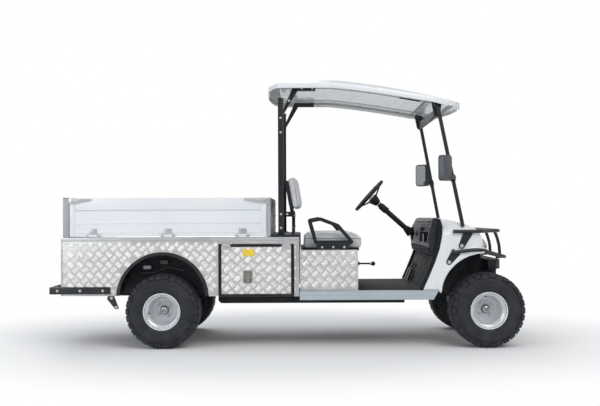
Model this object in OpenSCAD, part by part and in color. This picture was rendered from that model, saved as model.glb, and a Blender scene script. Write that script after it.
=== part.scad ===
// Utility golf cart: a two-seat electric cart with a drop-side cargo bed, side toolboxes,
// a moulded roof on posts and a tubular brush guard. Millimetres, +X forward, +Y left, +Z up.
// The origin is on the ground, midway between the rear bumper and the front of the front tyres.

/* [Overall] */
// Length from the rear bumper to the front of the front tyres
overall_length = 3560; // [3300:10:3900]
// Distance between the front and rear axles
wheelbase = 2436; // [2300:6:2600]
// Half the width of the bed, seat box and cowl
body_half = 600; // [560:5:640]

/* [Wheels] */
// Outer diameter of a tyre
tyre_dia = 559; // [500:1:600]
// Width of a tyre across the sidewalls
tyre_w = 270; // [220:5:280]
// Distance from the centreline to the middle of a tyre
half_track = 515; // [505:5:540]
// Radius of the rim flange
rim_r = 141; // [130:1:150]
// Depth of the wheel disc behind the outer rim flange
dish_depth = 165; // [150:5:180]

/* [Steering] */
// Distance from the centreline to each kingpin
kingpin_y = 415; // [410:1:425]
// Length of the steering arms behind the kingpins
steer_arm = 80; // [70:1:84]
// Diameter of the steering wheel
steer_wheel_dia = 340; // [300:5:380]
// Slope of the steering column below level, in degrees
column_slope = 42; // [35:1:50]

/* [Bed] */
// Length of the bed floor
bed_len = 1533; // [1450:1:1600]
// Height of the bed floor and of the top of the side plates
bed_z = 835; // [800:5:870]
// Height of the drop sides above the bed floor
drop_h = 295; // [200:5:350]
// Thickness of the drop sides, tailgate and headboard
drop_t = 25; // [20:1:30]
// Height of the bottom edge of the side plates
plate_z = 397; // [380:1:410]
// Radius of the rear wheel arches
arch_r = 348; // [340:1:352]

/* [Cab] */
// Height of the floor mat
floor_z = 430; // [400:5:440]
// Height of the top of the seat box
seat_box_z = 735; // [700:5:750]
// Length of the seat box
seat_box_len = 433; // [400:1:440]
// Thickness of the seat cushion
cushion_t = 114; // [90:2:120]
// Height of the edge of the roof at the rear posts
roof_z = 1955; // [1900:5:2000]
// Rise of the roof's crown above its edge
roof_crown = 70; // [50:5:120]
// Half the width of the roof
roof_half = 587; // [560:1:600]
// Width of the square roof posts
post_w = 42; // [36:1:50]

/* [Sheet and tube] */
// Thickness of the aluminium side plates
plate_t = 4; // [3:1:6]
// Thickness of the moulded panels
shell_t = 8; // [6:1:10]
// Diameter of the brush guard tube
guard_dia = 27; // [24:1:32]
// Width of the frame rails
rail_w = 50; // [45:1:60]
// Height of the frame rails
rail_h = 62; // [55:1:64]

/* [Hidden] */

// Facets of full rounds, and of rounds inside a hull
$fn = 64;
hull_fn = 32;
// Sliver that a cut runs past the face it opens
e = 1;
// Gap between pieces that move, and between curved pieces at rest
run_gap = 6;
seat_gap = 0.3;
// Radial clearance of a shaft in its bore
shaft_gap = 0.05;

white = [0.94, 0.95, 0.96];
black = [0.09, 0.09, 0.10];
plate_grey = [0.78, 0.79, 0.80];
alu_blue = [0.74, 0.79, 0.83];
seat_grey = [0.72, 0.73, 0.74];
rim_silver = [0.80, 0.81, 0.82];
tyre_black = [0.07, 0.07, 0.08];
frame_black = [0.12, 0.12, 0.13];

// Wheel and axle places
tyre_r = tyre_dia / 2;
axle_z = tyre_r;
front_x = overall_length / 2 - tyre_r;
rear_x = front_x - wheelbase;

// Frame
rail_y = 325;
rail_z = 314;
rail_top = rail_z + rail_h;
rear_rail_top = rail_top + 60;
front_rail_y = 195;
floor_t = 12;
front_rail_top = floor_z - floor_t;
rail_rear_x = rear_x - 755;
kick_x = rear_x + 455;
main_rail_front_x = front_x - 595;

// Bed: the front face of the headboard, the rear end of the plates, and the floor's structure
head_x = front_x - 1650;
bed_rear_x = head_x - bed_len;
bed_floor_t = 25;
plate_front_x = head_x + 240;
arch_z = axle_z + 95;
arch_x = rear_x;
liner_in_y = 355;
top_rail_h = 25;
hinge_r = 9;
hinge_half = 30;
hinge_lug_w = 22;
hinge_lug_x = hinge_half + seat_gap + hinge_lug_w / 2;
hinge_places = [0.12, 0.5, 0.88];
post_s = 45;

// Toolboxes
box_x0 = front_x - 2013;
box_x1 = front_x - 1452;
box_z0 = 391;
box_z1 = 780;
box_depth = 235;
door_t = 12;
door_gap = 6;
door_hinge_z = box_z1 + 4;
door_hinge_places = [box_x0 + 55, box_x1 - 55];

// Seat and cab
seat_x0 = plate_front_x + 7;
seat_x1 = seat_x0 + seat_box_len;
base_t = 12;
cushion_x0 = seat_x0 + 20;
cushion_x1 = seat_x1 + 39;
cushion_half = 528;
seat_hinge_x = seat_x1 + 12;
seat_hinge_z = seat_box_z - 4;
seat_barrel_half = 400;
sill_x1 = front_x - 369;
sill_z0 = 361;
sill_h = floor_z - sill_z0;
deck_top = bed_z + 13;
arm_y = 560;
arm_t = 33;

// Height of the roof panel over each front wheel well
liner_roof_z = 700;

// Cowl shoulders: where the slope starts, and its height at the side
shoulder_y = 470;
shoulder_low = 850;

// Rear roof posts, front struts
post_x = front_x - 1548;
post_y = 500;
strut_dia = 29;
strut_foot = [front_x - 178, 560, shoulder_z(560 - strut_dia / 2) + 1];
strut_head = [front_x - 350, 512, 1800];

// Steering wheel centre and its axis
wheel_c = [front_x - 820, 255, 1160];
column_dir = [cos(column_slope), 0, -sin(column_slope)];

// Mirrored copy for the right-hand side
module both_sides() {
    children();
    mirror([0, 1, 0]) children();
}

// A block from its low corner to its high corner
module block(low, high) {
    translate(low) cube(high - low);
}

// An outline in X and Z, given thickness along Y from y0 to y1
module side_slab(y0, y1) {
    translate([0, y1, 0]) rotate([90, 0, 0]) linear_extrude(y1 - y0) children();
}

// A straight round bar between two points
module bar(a, b, dia) {
    d = b - a;
    len = norm(d);
    translate(a) rotate([0, acos(d[2] / len), atan2(d[1], d[0])]) cylinder(d = dia, h = len);
}

// A straight bar along Y
module y_bar(x, z, y0, y1, dia) {
    translate([x, y1, z]) rotate([90, 0, 0]) cylinder(d = dia, h = y1 - y0);
}

// ---- Frame and running gear ----

// Two lower rails with a raised rear half, and two narrower front rails
module frame_rails() {
    color(frame_black) {
        both_sides() side_slab(rail_y - rail_w / 2, rail_y + rail_w / 2) {
            polygon([
                [kick_x - 60, rail_z + 20], [kick_x - 40, rail_z], [main_rail_front_x, rail_z],
                [main_rail_front_x, rail_top], [kick_x, rail_top], [kick_x, rear_rail_top],
                [rail_rear_x, rear_rail_top], [rail_rear_x, rail_top], [kick_x - 60, rail_top]]);
        }
        both_sides() block(
            [main_rail_front_x - 60, front_rail_y - rail_w / 2, rail_top],
            [front_x + 140, front_rail_y + rail_w / 2, front_rail_top]);
    }
}

// Members across the rails, the bed's subframe posts and the battery bearers
module crossmembers() {
    inner = rail_y - rail_w / 2;
    outer = rail_y + rail_w / 2;
    bed_under = bed_z - bed_floor_t;
    bearer_h = 40;
    color(frame_black) {
        for (x = [rail_rear_x + 62, rear_x - 200, kick_x - 120])
            block([x - 25, -inner, rail_top], [x + 25, inner, rear_rail_top]);
        block([main_rail_front_x - 120, -outer, rail_top],
              [main_rail_front_x - 60, outer, front_rail_top]);
        for (x = [seat_x0 + 60, seat_x1 - 60, main_rail_front_x - 250])
            block([x - 25, -inner, rail_z], [x + 25, inner, rail_z + 35]);
        block([front_x + 90, -front_rail_y + rail_w / 2, rail_top],
              [front_x + 140, front_rail_y - rail_w / 2, front_rail_top]);
        both_sides() for (x = [rail_rear_x + 62, kick_x - 120])
            block([x - 25, inner - 40, rear_rail_top - e], [x + 25, inner, bed_under - bearer_h - seat_gap]);
        for (x = [rail_rear_x + 62, rear_x, kick_x - 120])
            block([x - 25, -540, bed_under - bearer_h], [x + 25, 540, bed_under]);
    }
}

// Front beam axle with an eye at each end for the kingpin
module front_axle() {
    eye_r = 21;
    color(frame_black) difference() {
        union() {
            block([front_x - 25, -kingpin_y, axle_z - 25], [front_x + 25, kingpin_y, axle_z + 25]);
            both_sides() translate([front_x, kingpin_y, axle_z - 30]) cylinder(r = eye_r, h = 60);
        }
        both_sides() translate([front_x, kingpin_y, axle_z - 30 - e])
            cylinder(r = 9 + shaft_gap, h = 60 + 2 * e);
        both_sides() difference() {
            block([front_x - 26, kingpin_y, axle_z - 26], [front_x + 26, kingpin_y + 30, axle_z + 26]);
            translate([front_x, kingpin_y, axle_z - 30]) cylinder(r = eye_r, h = 60);
        }
    }
}

// Rear axle tube with its gear housing, drive motor and wheel spindles
module rear_axle() {
    color(frame_black) {
        y_bar(rear_x, axle_z, -half_track + 95, half_track - 95, 70);
        both_sides() y_bar(rear_x, axle_z, half_track - 95 - e, half_track + 25, 30 - 2 * shaft_gap);
        y_bar(rear_x, axle_z, -75, 75, 190);
        y_bar(rear_x + 60, axle_z, 74, 235, 170);
    }
}

// Outline of a leaf spring: a shallow arc that rises to its ends
module leaf_outline(half, rise, thick) {
    steps = 12;
    top = [for (i = [0 : steps]) let (t = i / steps * 2 - 1) [half * t, rise * t * t + thick]];
    low = [for (i = [steps : -1 : 0]) let (t = i / steps * 2 - 1) [half * t, rise * t * t]];
    polygon(concat(top, low));
}

// Leaf springs front and rear, and a damper at each wheel
module suspension() {
    front_seat_z = axle_z + 25;
    // Damper feet on the axles and their tops: place along, place across, foot height, top height
    dampers = [
        [front_x, 300, front_seat_z + seat_gap, liner_roof_z - seat_gap],
        [rear_x, 268, axle_z + 35 + seat_gap, bed_z - bed_floor_t - 40 - seat_gap]];
    color(frame_black) both_sides() {
        translate([front_x - 60, 0, front_seat_z]) side_slab(front_rail_y - 22, front_rail_y + 22)
            leaf_outline(190, rail_top - front_seat_z - 12, 12);
        block([front_x - 60 - 25, front_rail_y - 22, front_seat_z],
              [front_x + 20, front_rail_y + 22, front_seat_z + 1]);
        translate([rear_x, 0, axle_z + 35]) side_slab(rail_y - 22, rail_y + 22)
            leaf_outline(300, rail_top - axle_z - 35 - 14, 14);
        for (d = dampers) {
            translate([d[0], d[1], d[2]]) cylinder(d = 44, h = 190);
            translate([d[0], d[1], d[2] + 189]) cylinder(d = 16, h = d[3] - d[2] - 189);
        }
    }
}

// Closed battery block under the seat
module battery_pack() {
    color([0.25, 0.25, 0.27])
        block([seat_x0 + 33, -270, rail_z + 35], [seat_x1 - 33, 270, 640]);
}

// Outline of one kingpin fork seen from above, reaching back to the steering arm's pin
module arm_outline() {
    hull() {
        circle(r = 17);
        translate([-steer_arm, 0]) circle(r = 12);
    }
}

// Fork, spindle and steering arm of a front wheel, about its kingpin; side is 1 left, -1 right
module knuckle(side) {
    ear_z = 34;
    ear_t = 12;
    pin_z = 21;
    color(frame_black) translate([front_x, side * kingpin_y, axle_z]) scale([1, side, 1]) {
        translate([0, 0, -ear_z - ear_t]) cylinder(r = 9, h = 2 * (ear_z + ear_t));
        for (z = [ear_z, -ear_z - ear_t]) translate([0, 0, z]) {
            cylinder(r = 20, h = ear_t);
            translate([-18, 0, 0]) cube([36, 38, ear_t]);
        }
        translate([-18, 28, -ear_z - e]) cube([36, 10, 2 * ear_z + 2 * e]);
        translate([0, 38, 0]) rotate([-90, 0, 0])
            cylinder(r = 15 - shaft_gap, h = half_track + 25 - kingpin_y - 38);
        // Arm at the top of the fork, with a pin hanging into the tie rod
        translate([0, 0, ear_z]) linear_extrude(ear_t) union() {
            translate([-steer_arm, -12]) square([steer_arm, 24]);
            translate([-steer_arm, 0]) circle(r = 12);
        }
        translate([-steer_arm, 0, -14]) cylinder(r = 6, h = ear_z + 14 + e);
    }
}
module knuckle_left() knuckle(1);
module knuckle_right() knuckle(-1);

// Rod that joins the two steering arms, with an eye round each arm's pin
module tie_rod() {
    eye_h = 18;
    color(frame_black) translate([front_x - steer_arm, 0, axle_z + 6]) difference() {
        union() {
            translate([0, kingpin_y - 10, 0]) rotate([90, 0, 0])
                cylinder(d = 16, h = 2 * (kingpin_y - 10));
            for (side = [1, -1]) translate([0, side * kingpin_y, -eye_h / 2])
                cylinder(r = 12, h = eye_h);
        }
        translate([0, kingpin_y, -eye_h]) cylinder(r = 6 + shaft_gap, h = 2 * eye_h);
        translate([0, -kingpin_y, -eye_h]) cylinder(r = 7, h = 2 * eye_h);
    }
}

// ---- Wheels ----

// Tyre: rounded shoulders over straight beads
module tyre(x, side) {
    shoulder = 60;
    w = tyre_w / 2;
    bead = 12;
    color(tyre_black) translate([x, side * half_track, axle_z]) rotate([90, 0, 0])
        rotate_extrude($fn = 96) {
            translate([rim_r - bead, 25 - w]) square([bead + e, tyre_w - 50]);
            translate([rim_r, -w]) square([tyre_r - shoulder - rim_r, tyre_w]);
            translate([tyre_r - shoulder - e, shoulder - w]) square([shoulder + e, tyre_w - 2 * shoulder]);
            for (s = [1, -1]) translate([tyre_r - shoulder, s * (w - shoulder)]) intersection() {
                circle(r = shoulder);
                translate([0, s > 0 ? 0 : -shoulder]) square(shoulder);
            }
        }
}
module tyre_front_left() tyre(front_x, 1);
module tyre_front_right() tyre(front_x, -1);
module tyre_rear_left() tyre(rear_x, 1);
module tyre_rear_right() tyre(rear_x, -1);

// Rim: barrel, outer flange lip, deep disc and hub, bored for the spindle
module rim(x, side) {
    w = tyre_w / 2;
    barrel_r = rim_r - 12 - seat_gap;
    wall = 4;
    disc_y = w - 10 - dish_depth;
    color(rim_silver) translate([x, side * half_track, axle_z]) scale([1, side, 1]) rotate([-90, 0, 0])
        rotate_extrude($fn = 96) {
            translate([barrel_r - wall, 25 - w]) square([wall, tyre_w - 35]);
            translate([barrel_r - wall, w - 24]) square([rim_r - seat_gap - barrel_r + wall, 5]);
            translate([rim_r - seat_gap - 5, w - 24]) square([5, 14]);
            translate([15, disc_y - 6]) square([barrel_r - 15 - e, 6]);
            translate([15, disc_y - 6]) square([30, 42]);
        }
}
module rim_front_left() rim(front_x, 1);
module rim_front_right() rim(front_x, -1);
module rim_rear_left() rim(rear_x, 1);
module rim_rear_right() rim(rear_x, -1);

// ---- Floor, sills and front body ----

// Front end of the flat floor and the foot and top of the sloping toe board
floor_x1 = front_x - 490;
toe_top = [front_x - 385, 690];

// Flat floor with a sloping toe board
module floor_pan() {
    t = floor_t;
    color(black) side_slab(-body_half + 26, body_half - 26) polygon([
        [seat_x1 + seat_gap, floor_z], [floor_x1, floor_z], toe_top,
        [toe_top[0] + t, toe_top[1] - 4], [floor_x1 + t, floor_z - t], [seat_x1 + seat_gap, floor_z - t]]);
}

// Sill beams below the doors, with a slanted front end
module rocker_panels() {
    color(alu_blue) both_sides() side_slab(body_half - 25, body_half + 10) polygon([
        [plate_front_x + 3, sill_z0], [sill_x1 - 38, sill_z0], [sill_x1, floor_z],
        [plate_front_x + 3, floor_z]]);
}

// Points along a quarter ellipse from one corner to another, bulging to the outside
function ease_arc(a, b, steps, up_first) = [for (i = [0 : steps])
    let (t = 90 * i / steps)
    up_first ? [a[0] + (b[0] - a[0]) * (1 - cos(t)), a[1] + (b[1] - a[1]) * sin(t)]
             : [a[0] + (b[0] - a[0]) * sin(t), a[1] + (b[1] - a[1]) * (1 - cos(t))]];

// Side outline of the cowl: front arch, tip, rear edge, bonnet and nose
fender_tip = [front_x - 346, 392];
arch_end = [front_x - 19, 704];
cowl_top = [front_x - 354, 971];
nose_low = [front_x + 30, 690];
function cowl_points() = concat(
    ease_arc(fender_tip, arch_end, 8, true),
    [nose_low, [front_x + 24, 731], [front_x - 36, 825], [front_x - 72, 887], [front_x - 200, 935],
     cowl_top, [front_x - 336, 908], [front_x - 341, 826], [front_x - 360, 735],
     [front_x - 391, 645], [front_x - 437, 535], [front_x - 486, floor_z + seat_gap],
     [front_x - 368, floor_z + seat_gap]]);

// Height of the cowl's sloping shoulder at a distance from the centreline
function shoulder_z(y) = shoulder_low + (body_half - y) * 135 / (body_half - shoulder_y);
module shoulder_outline(inset) {
    offset(delta = -inset) polygon([
        [-body_half, 0], [body_half, 0], [body_half, shoulder_low], [shoulder_y, shoulder_low + 135],
        [-shoulder_y, shoulder_low + 135], [-body_half, shoulder_low]]);
}

// A block from front to back cut to the cowl's shoulders
module shoulder_mass(inset) {
    translate([front_x - 700, 0, 0]) rotate([90, 0, 90]) linear_extrude(900) shoulder_outline(inset);
}

// Plan outline of the cowl, rounded to the nose
module cowl_plan(inset) {
    half = body_half - inset;
    corner = 190;
    nose_x = front_x + 40 - inset;
    hull() {
        translate([front_x - 520, -half]) square([10, 2 * half]);
        translate([nose_x - corner, -half + corner]) circle(r = corner, $fn = 48);
        translate([nose_x - corner, half - corner]) circle(r = corner, $fn = 48);
    }
}

// White front cowl: a shell open below, at the back and over the wheels
module cowl_mass(inset) {
    intersection() {
        side_slab(-body_half, body_half) offset(delta = -inset) polygon(cowl_points());
        linear_extrude(1200) cowl_plan(inset);
        shoulder_mass(inset);
    }
}

// Place of a headlight on the nose, facing out along +Z of its own frame
module headlight_place() {
    translate([front_x - 24, 506, 778]) rotate([0, 57, 30]) children();
}
headlight_r = 46;
well_half = body_half - 22;
module front_cowl() {
    color(white) difference() {
        cowl_mass(0);
        cowl_mass(shell_t);
        // Open back for the dashboard and toe board, between the side panels and under the shoulders
        intersection() {
            block([front_x - 600, -well_half, floor_z - e], [front_x - 300, well_half, 945]);
            shoulder_mass(shell_t);
        }
        // Wheel wells, open below the side panels' edge
        block([front_x - 600, -well_half, 380], [front_x + 12, well_half, liner_roof_z + 16]);
        both_sides() headlight_place() translate([0, 0, -80])
            cylinder(r = headlight_r + seat_gap, h = 200);
    }
}

// Black liners: rear arches inside the bed plates, and the inner walls of the front wheel wells
module wheel_arch_liners() {
    liner_t = 5;
    color(black) both_sides() {
        difference() {
            translate([arch_x, body_half - plate_t - seat_gap, arch_z]) rotate([90, 0, 0])
                cylinder(r = arch_r, h = body_half - plate_t - seat_gap - liner_in_y);
            translate([arch_x, body_half + e, arch_z]) rotate([90, 0, 0])
                cylinder(r = arch_r - liner_t, h = body_half + 2 * e - liner_in_y);
            block([arch_x - 500, 0, 0], [arch_x + 500, body_half + e, plate_z]);
        }
        // Front: an upright inner wall and a roof panel under the bonnet
        wall_y = front_rail_y + rail_w / 2 + seat_gap;
        block([front_x - 330, wall_y, rail_top + 4], [front_x + 10, wall_y + 6, liner_roof_z + e]);
        block([front_x - 330, wall_y, liner_roof_z], [front_x + 10, body_half - 100, liner_roof_z + 6]);
    }
}

// Black dashboard with a glove shelf, closed at the back by the bonnet
module dashboard() {
    half = body_half - 55;
    back_x = front_x - 354 - seat_gap;
    color(black) difference() {
        intersection() {
            side_slab(-half, half) polygon([
                [front_x - 416, 688], [front_x - 440, 800], [front_x - 420, 900], [front_x - 396, 962],
                [front_x - 378, 971], [back_x, 971], [back_x, 944], [front_x - 330, 944],
                [front_x - 320, 720], [toe_top[0] + 22, 692]]);
            shoulder_mass(shell_t + 1);
        }
        // Open shelf pockets left and right of the steering column
        block([front_x - 450, 60 - half, 780], [front_x - 350, -60, 860]);
        block([front_x - 450, wheel_c[1] + 70, 780], [front_x - 350, half - 60, 860]);
    }
}

// Black front bumper: a wide upper beam over a narrow lower part
module front_bumper() {
    color(black) {
        translate([front_x, 0, 575]) linear_extrude(73) polygon([
            [45, -390], [110, -390], [148, -330], [148, 330], [110, 390], [45, 390]]);
        block([front_x + 60, -215, 470], [front_x + 146, 215, 576]);
        both_sides() block([front_x + 60, front_rail_y - 20, front_rail_top], [front_x + 120, front_rail_y + 18, 471]);
    }
}

// Upright oval headlights on the cowl's front corners
module headlights() {
    color([0.85, 0.87, 0.88]) both_sides() headlight_place() translate([0, 0, -30])
        cylinder(r = headlight_r, h = 40);
}

// A run of round tube through points, with ball corners
module tube_run(pts, dia) {
    for (i = [0 : len(pts) - 2]) hull() {
        translate(pts[i]) sphere(d = dia, $fn = 12);
        translate(pts[i + 1]) sphere(d = dia, $fn = 12);
    }
}

// A tube run and its mirrored half, from the middle of the cart outwards
module tube_loop(pts, dia) {
    both_sides() tube_run(pts, dia);
}

// Tubular guard round the nose: two loops, two uprights and flat mounting brackets
guard_side = body_half + 17;
guard_top_z = 870;
guard_low_z = 730;
guard_low_front_z = 666;
guard_top_x = front_x + 140;
guard_low_x = front_x + 186;
guard_bend = 70;
module brush_guard() {
    upright_dia = guard_dia - 4;
    color(black) {
        tube_loop([
            [guard_top_x, 0, guard_top_z], [guard_top_x, 390 - guard_bend, guard_top_z],
            [guard_top_x - 22, 390 - 18, guard_top_z], [guard_top_x - guard_bend, 400, guard_top_z],
            [front_x + 10, guard_side - 60, guard_top_z], [front_x - 110, guard_side - 1, guard_top_z],
            [front_x - 262, guard_side, guard_top_z]], guard_dia);
        tube_loop([
            [guard_low_x, 0, guard_low_front_z], [guard_low_x, 400 - guard_bend, guard_low_front_z],
            [guard_low_x - 22, 400 - 18, guard_low_front_z + 2], [guard_low_x - guard_bend, 410, guard_low_front_z + 10],
            [front_x + 20, guard_side - 60, guard_low_z - 18], [front_x - 90, guard_side - 1, guard_low_z],
            [front_x - 266, guard_side, guard_low_z - 18]], guard_dia);
        for (y = [-175, 175]) tube_run([
            [guard_top_x, y, guard_top_z], [guard_top_x + 8, y, 820], [guard_low_x - 8, y, 740],
            [guard_low_x, y, guard_low_front_z]], upright_dia);
        // Flat brackets down to the fender
        both_sides() side_slab(body_half + seat_gap, body_half + 6) {
            hull() {
                translate([front_x - 178, guard_top_z - 10]) square([72, 10]);
                translate([front_x - 195, 762]) circle(r = 22, $fn = hull_fn);
            }
            hull() {
                translate([front_x - 266, guard_low_z - 22]) square([66, 8]);
                translate([front_x - 290, 640]) circle(r = 22, $fn = hull_fn);
            }
        }
        // Feet from the lower loop to the bumper
        both_sides() tube_run([[guard_low_x, 280, guard_low_front_z], [front_x + 130, 280, 648 + upright_dia / 2 + seat_gap]], upright_dia);
    }
}

// ---- Seat and controls ----

// Side plates of the seat box
module seat_side_plates() {
    color(plate_grey) both_sides() {
        block([seat_x0, body_half - 12, floor_z + seat_gap], [seat_x1, body_half, seat_box_z]);
        block([seat_x0, body_half - 24, floor_z + seat_gap], [seat_x0 + 20, body_half - 12, seat_box_z]);
    }
}

// Front and rear panels of the seat box, with the rim that the seat rests on
module seat_front_panel() {
    half = body_half - 24;
    color(black) {
        block([seat_x1 - 12, -half, floor_z + seat_gap], [seat_x1, half, seat_box_z]);
        block([seat_x1 - 60, -half, seat_box_z - 20], [seat_x1 - 11, half, seat_box_z]);
        // Fixed hinge lugs beyond the ends of the seat's barrel
        both_sides() {
            y_bar(seat_hinge_x, seat_hinge_z, seat_barrel_half + seat_gap, seat_barrel_half + 30, 16);
            block([seat_x1 - e, seat_barrel_half + seat_gap, seat_hinge_z - 6],
                  [seat_hinge_x, seat_barrel_half + 30, seat_hinge_z]);
        }
    }
}

// Black deck behind the seat, turned down at its front edge
module rear_deck() {
    low = bed_z - 3;
    x0 = head_x + drop_t + seat_gap;
    x1 = seat_x0 - seat_gap;
    color(black) side_slab(-body_half + 2, body_half - 2) polygon([
        [x0, low], [plate_front_x + seat_gap, low], [plate_front_x + seat_gap, seat_box_z],
        [x1, seat_box_z], [x1, deck_top - 8], [x1 - 8, deck_top], [x0, deck_top]]);
}

// Board under the seat cushion, hinged at its front edge
module seat_base() {
    color(black) {
        block([cushion_x0, -cushion_half + 8, seat_box_z + seat_gap],
              [seat_x1, cushion_half - 8, seat_box_z + base_t]);
        block([seat_x1 - e, -seat_barrel_half, seat_box_z + seat_gap], [seat_hinge_x + 8, seat_barrel_half, seat_box_z + base_t]);
        // Hinge barrel along the front edge
        y_bar(seat_hinge_x, seat_hinge_z, -seat_barrel_half, seat_barrel_half, 16);
        block([seat_hinge_x - 7.5, -seat_barrel_half, seat_hinge_z], [seat_hinge_x + 7.5, seat_barrel_half, seat_box_z + 1]);
    }
}

// Bench cushion
module seat_cushion() {
    z0 = seat_box_z + base_t + seat_gap;
    color(seat_grey) side_slab(-cushion_half, cushion_half) hull() {
        translate([cushion_x0 + 42, z0 + 42]) circle(r = 42, $fn = hull_fn);
        translate([cushion_x0 + 50, z0 + cushion_t - 50]) circle(r = 50, $fn = hull_fn);
        translate([cushion_x1 - 38, z0 + 38]) circle(r = 38, $fn = hull_fn);
        translate([cushion_x1 - 48, z0 + cushion_t - 54]) circle(r = 48, $fn = hull_fn);
    }
}

// Backrest: lean, middle and size of the pad
back_lean = 10;
back_c = [front_x - 1441, 0, 1167];
pad_h = 250;
pad_t = 78;
pad_half = 505;
back_shell_t = 22;

// Grey backrest pad
module backrest_pad() {
    color(seat_grey) translate(back_c) rotate([0, -back_lean, 0]) side_slab(-pad_half, pad_half)
        hull() for (x = [-1, 1], z = [-1, 1])
            translate([x * (pad_t / 2 - 30), z * (pad_h / 2 - 30)]) circle(r = 30, $fn = hull_fn);
}

// Black backrest shell on two uprights and brackets from the roof posts
module backrest_frame() {
    shell_x = -pad_t / 2 - seat_gap;
    up_x = front_x - 1458;
    color(black) {
        translate(back_c) rotate([0, -back_lean, 0])
            block([shell_x - back_shell_t, -pad_half + 10, -pad_h / 2 + 4], [shell_x, pad_half - 10, pad_h / 2 - 24]);
        both_sides() {
            block([up_x - 8, 430, deck_top + seat_gap], [up_x + 8, 460, 1030]);
            translate(back_c) rotate([0, -back_lean, 0])
                block([shell_x - back_shell_t, 430, -pad_h / 2 - 15], [shell_x - 6, 460, -pad_h / 2 + 10]);
            block([post_x + post_w / 2 + seat_gap, post_y - 12, 985], [up_x + 8, post_y + 12, 1023]);
            block([up_x - 8, 455, 985], [up_x + 8, post_y + 12, 1023]);
        }
    }
}

// Outline of an armrest loop; inset shrinks it to its inner edge
module arm_outline_side(inset) {
    offset(delta = -inset) hull() {
        translate([seat_x0 + 87, 943]) circle(r = 24, $fn = hull_fn);
        translate([seat_x0 + 150, 945]) circle(r = 34, $fn = hull_fn);
        translate([seat_x0 + 265, 890]) circle(r = 45, $fn = hull_fn);
        translate([seat_x0 + 120, 795]) circle(r = 18, $fn = hull_fn);
        translate([seat_x0 + 382, 795]) circle(r = 18, $fn = hull_fn);
    }
}

// Armrests: a looped rail on a base at each end of the seat
module armrests() {
    color(black) both_sides() {
        side_slab(arm_y - arm_t / 2, arm_y + arm_t / 2) {
            difference() {
                arm_outline_side(0);
                arm_outline_side(arm_t - 6);
            }
        }
        side_slab(arm_y - arm_t / 2, body_half)
            polygon([[seat_x0 + 125, seat_box_z], [seat_x0 + 360, seat_box_z],
                     [seat_x0 + 375, 795], [seat_x0 + 118, 795]]);
    }
}

// Column tube, its shroud and the stalk below the wheel
module steering_column() {
    a = wheel_c + column_dir * 110;
    b = wheel_c + column_dir * 502;
    color(black) {
        difference() {
            bar(a, b, 44);
            bar(a - column_dir * e, a + column_dir * 60, 20 + 2 * shaft_gap);
        }
        bar(a + column_dir * 90, a + column_dir * 84 + [10, -95, 20], 10);
    }
}

// Steering wheel: rim, three spokes, a deep hub and the shaft into the column
module steering_wheel() {
    rim_t = 27;
    color(black) translate(wheel_c) rotate([0, 90 + column_slope, 0]) {
        rotate_extrude() translate([steer_wheel_dia / 2 - rim_t / 2, 0]) circle(d = rim_t, $fn = 24);
        for (a = [90, 210, 330]) rotate(a) hull() {
            translate([steer_wheel_dia / 2 - 18, 0, 0]) cube([6, 22, 10], center = true);
            translate([20, 0, 52]) cube([6, 36, 12], center = true);
        }
        translate([0, 0, 34]) cylinder(r1 = 48, r2 = 26, h = 70);
        translate([0, 0, 60]) cylinder(r = 10, h = 100);
    }
}

// Brake and accelerator pedals on their arms, hung from the toe board
module pedals() {
    color(black) for (y = [170, 300]) {
        bar([front_x - 490, y, 505], [front_x - 432.5, y, 592], 14);
        translate([front_x - 494, y, 498]) rotate([0, 22, 0])
            block([-6, -38, -50], [6, 38, 50]);
    }
}

// Direction lever on the front of the seat box
module direction_lever() {
    face = seat_x1 + seat_gap;
    color(black) {
        block([face, -55, 520], [face + 14, 55, 690]);
        bar([face + 10, 0, 600], [seat_x1 + 150, 0, 598], 14);
        translate([seat_x1 + 160, 0, 598]) sphere(r = 18);
    }
}

// ---- Roof ----

// Height of the roof's side edge above a place along the cart, level behind and falling to the front
roof_x0 = front_x - 1661;
roof_x1 = front_x - 113;
roof_bend_x = front_x - 1170;
roof_low_x = front_x - 305;
roof_drop = 127;
function roof_edge(x) = x < roof_bend_x ? roof_z
    : roof_z - roof_drop * pow(min(1, (x - roof_bend_x) / (roof_low_x - roof_bend_x)), 1.25)
      + (x < roof_low_x ? 0 : 20 * pow((x - roof_low_x) / (roof_x1 - roof_low_x), 2));

// Middle of the roof above its side edge, highest near the back
function roof_rise(x) = let (t = (x - roof_x0) / (roof_x1 - roof_x0))
    roof_crown * pow(sin(180 * min(0.5, 0.1 + 1.5 * t)), 0.8) * (1 - pow(max(0, (t - 0.55) / 0.45), 2.2));

// Half width at a place along the roof, rounded at the four corners
roof_nose_len = 330;
roof_tail_len = 110;
function roof_half_at(x) =
    let (front = max(0, (x - roof_x1) / roof_nose_len + 1), back = max(0, (roof_x0 - x) / roof_tail_len + 1))
    roof_half * sqrt(max(0.01, 1 - front * front)) * sqrt(max(0.06, 1 - back * back));

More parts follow.
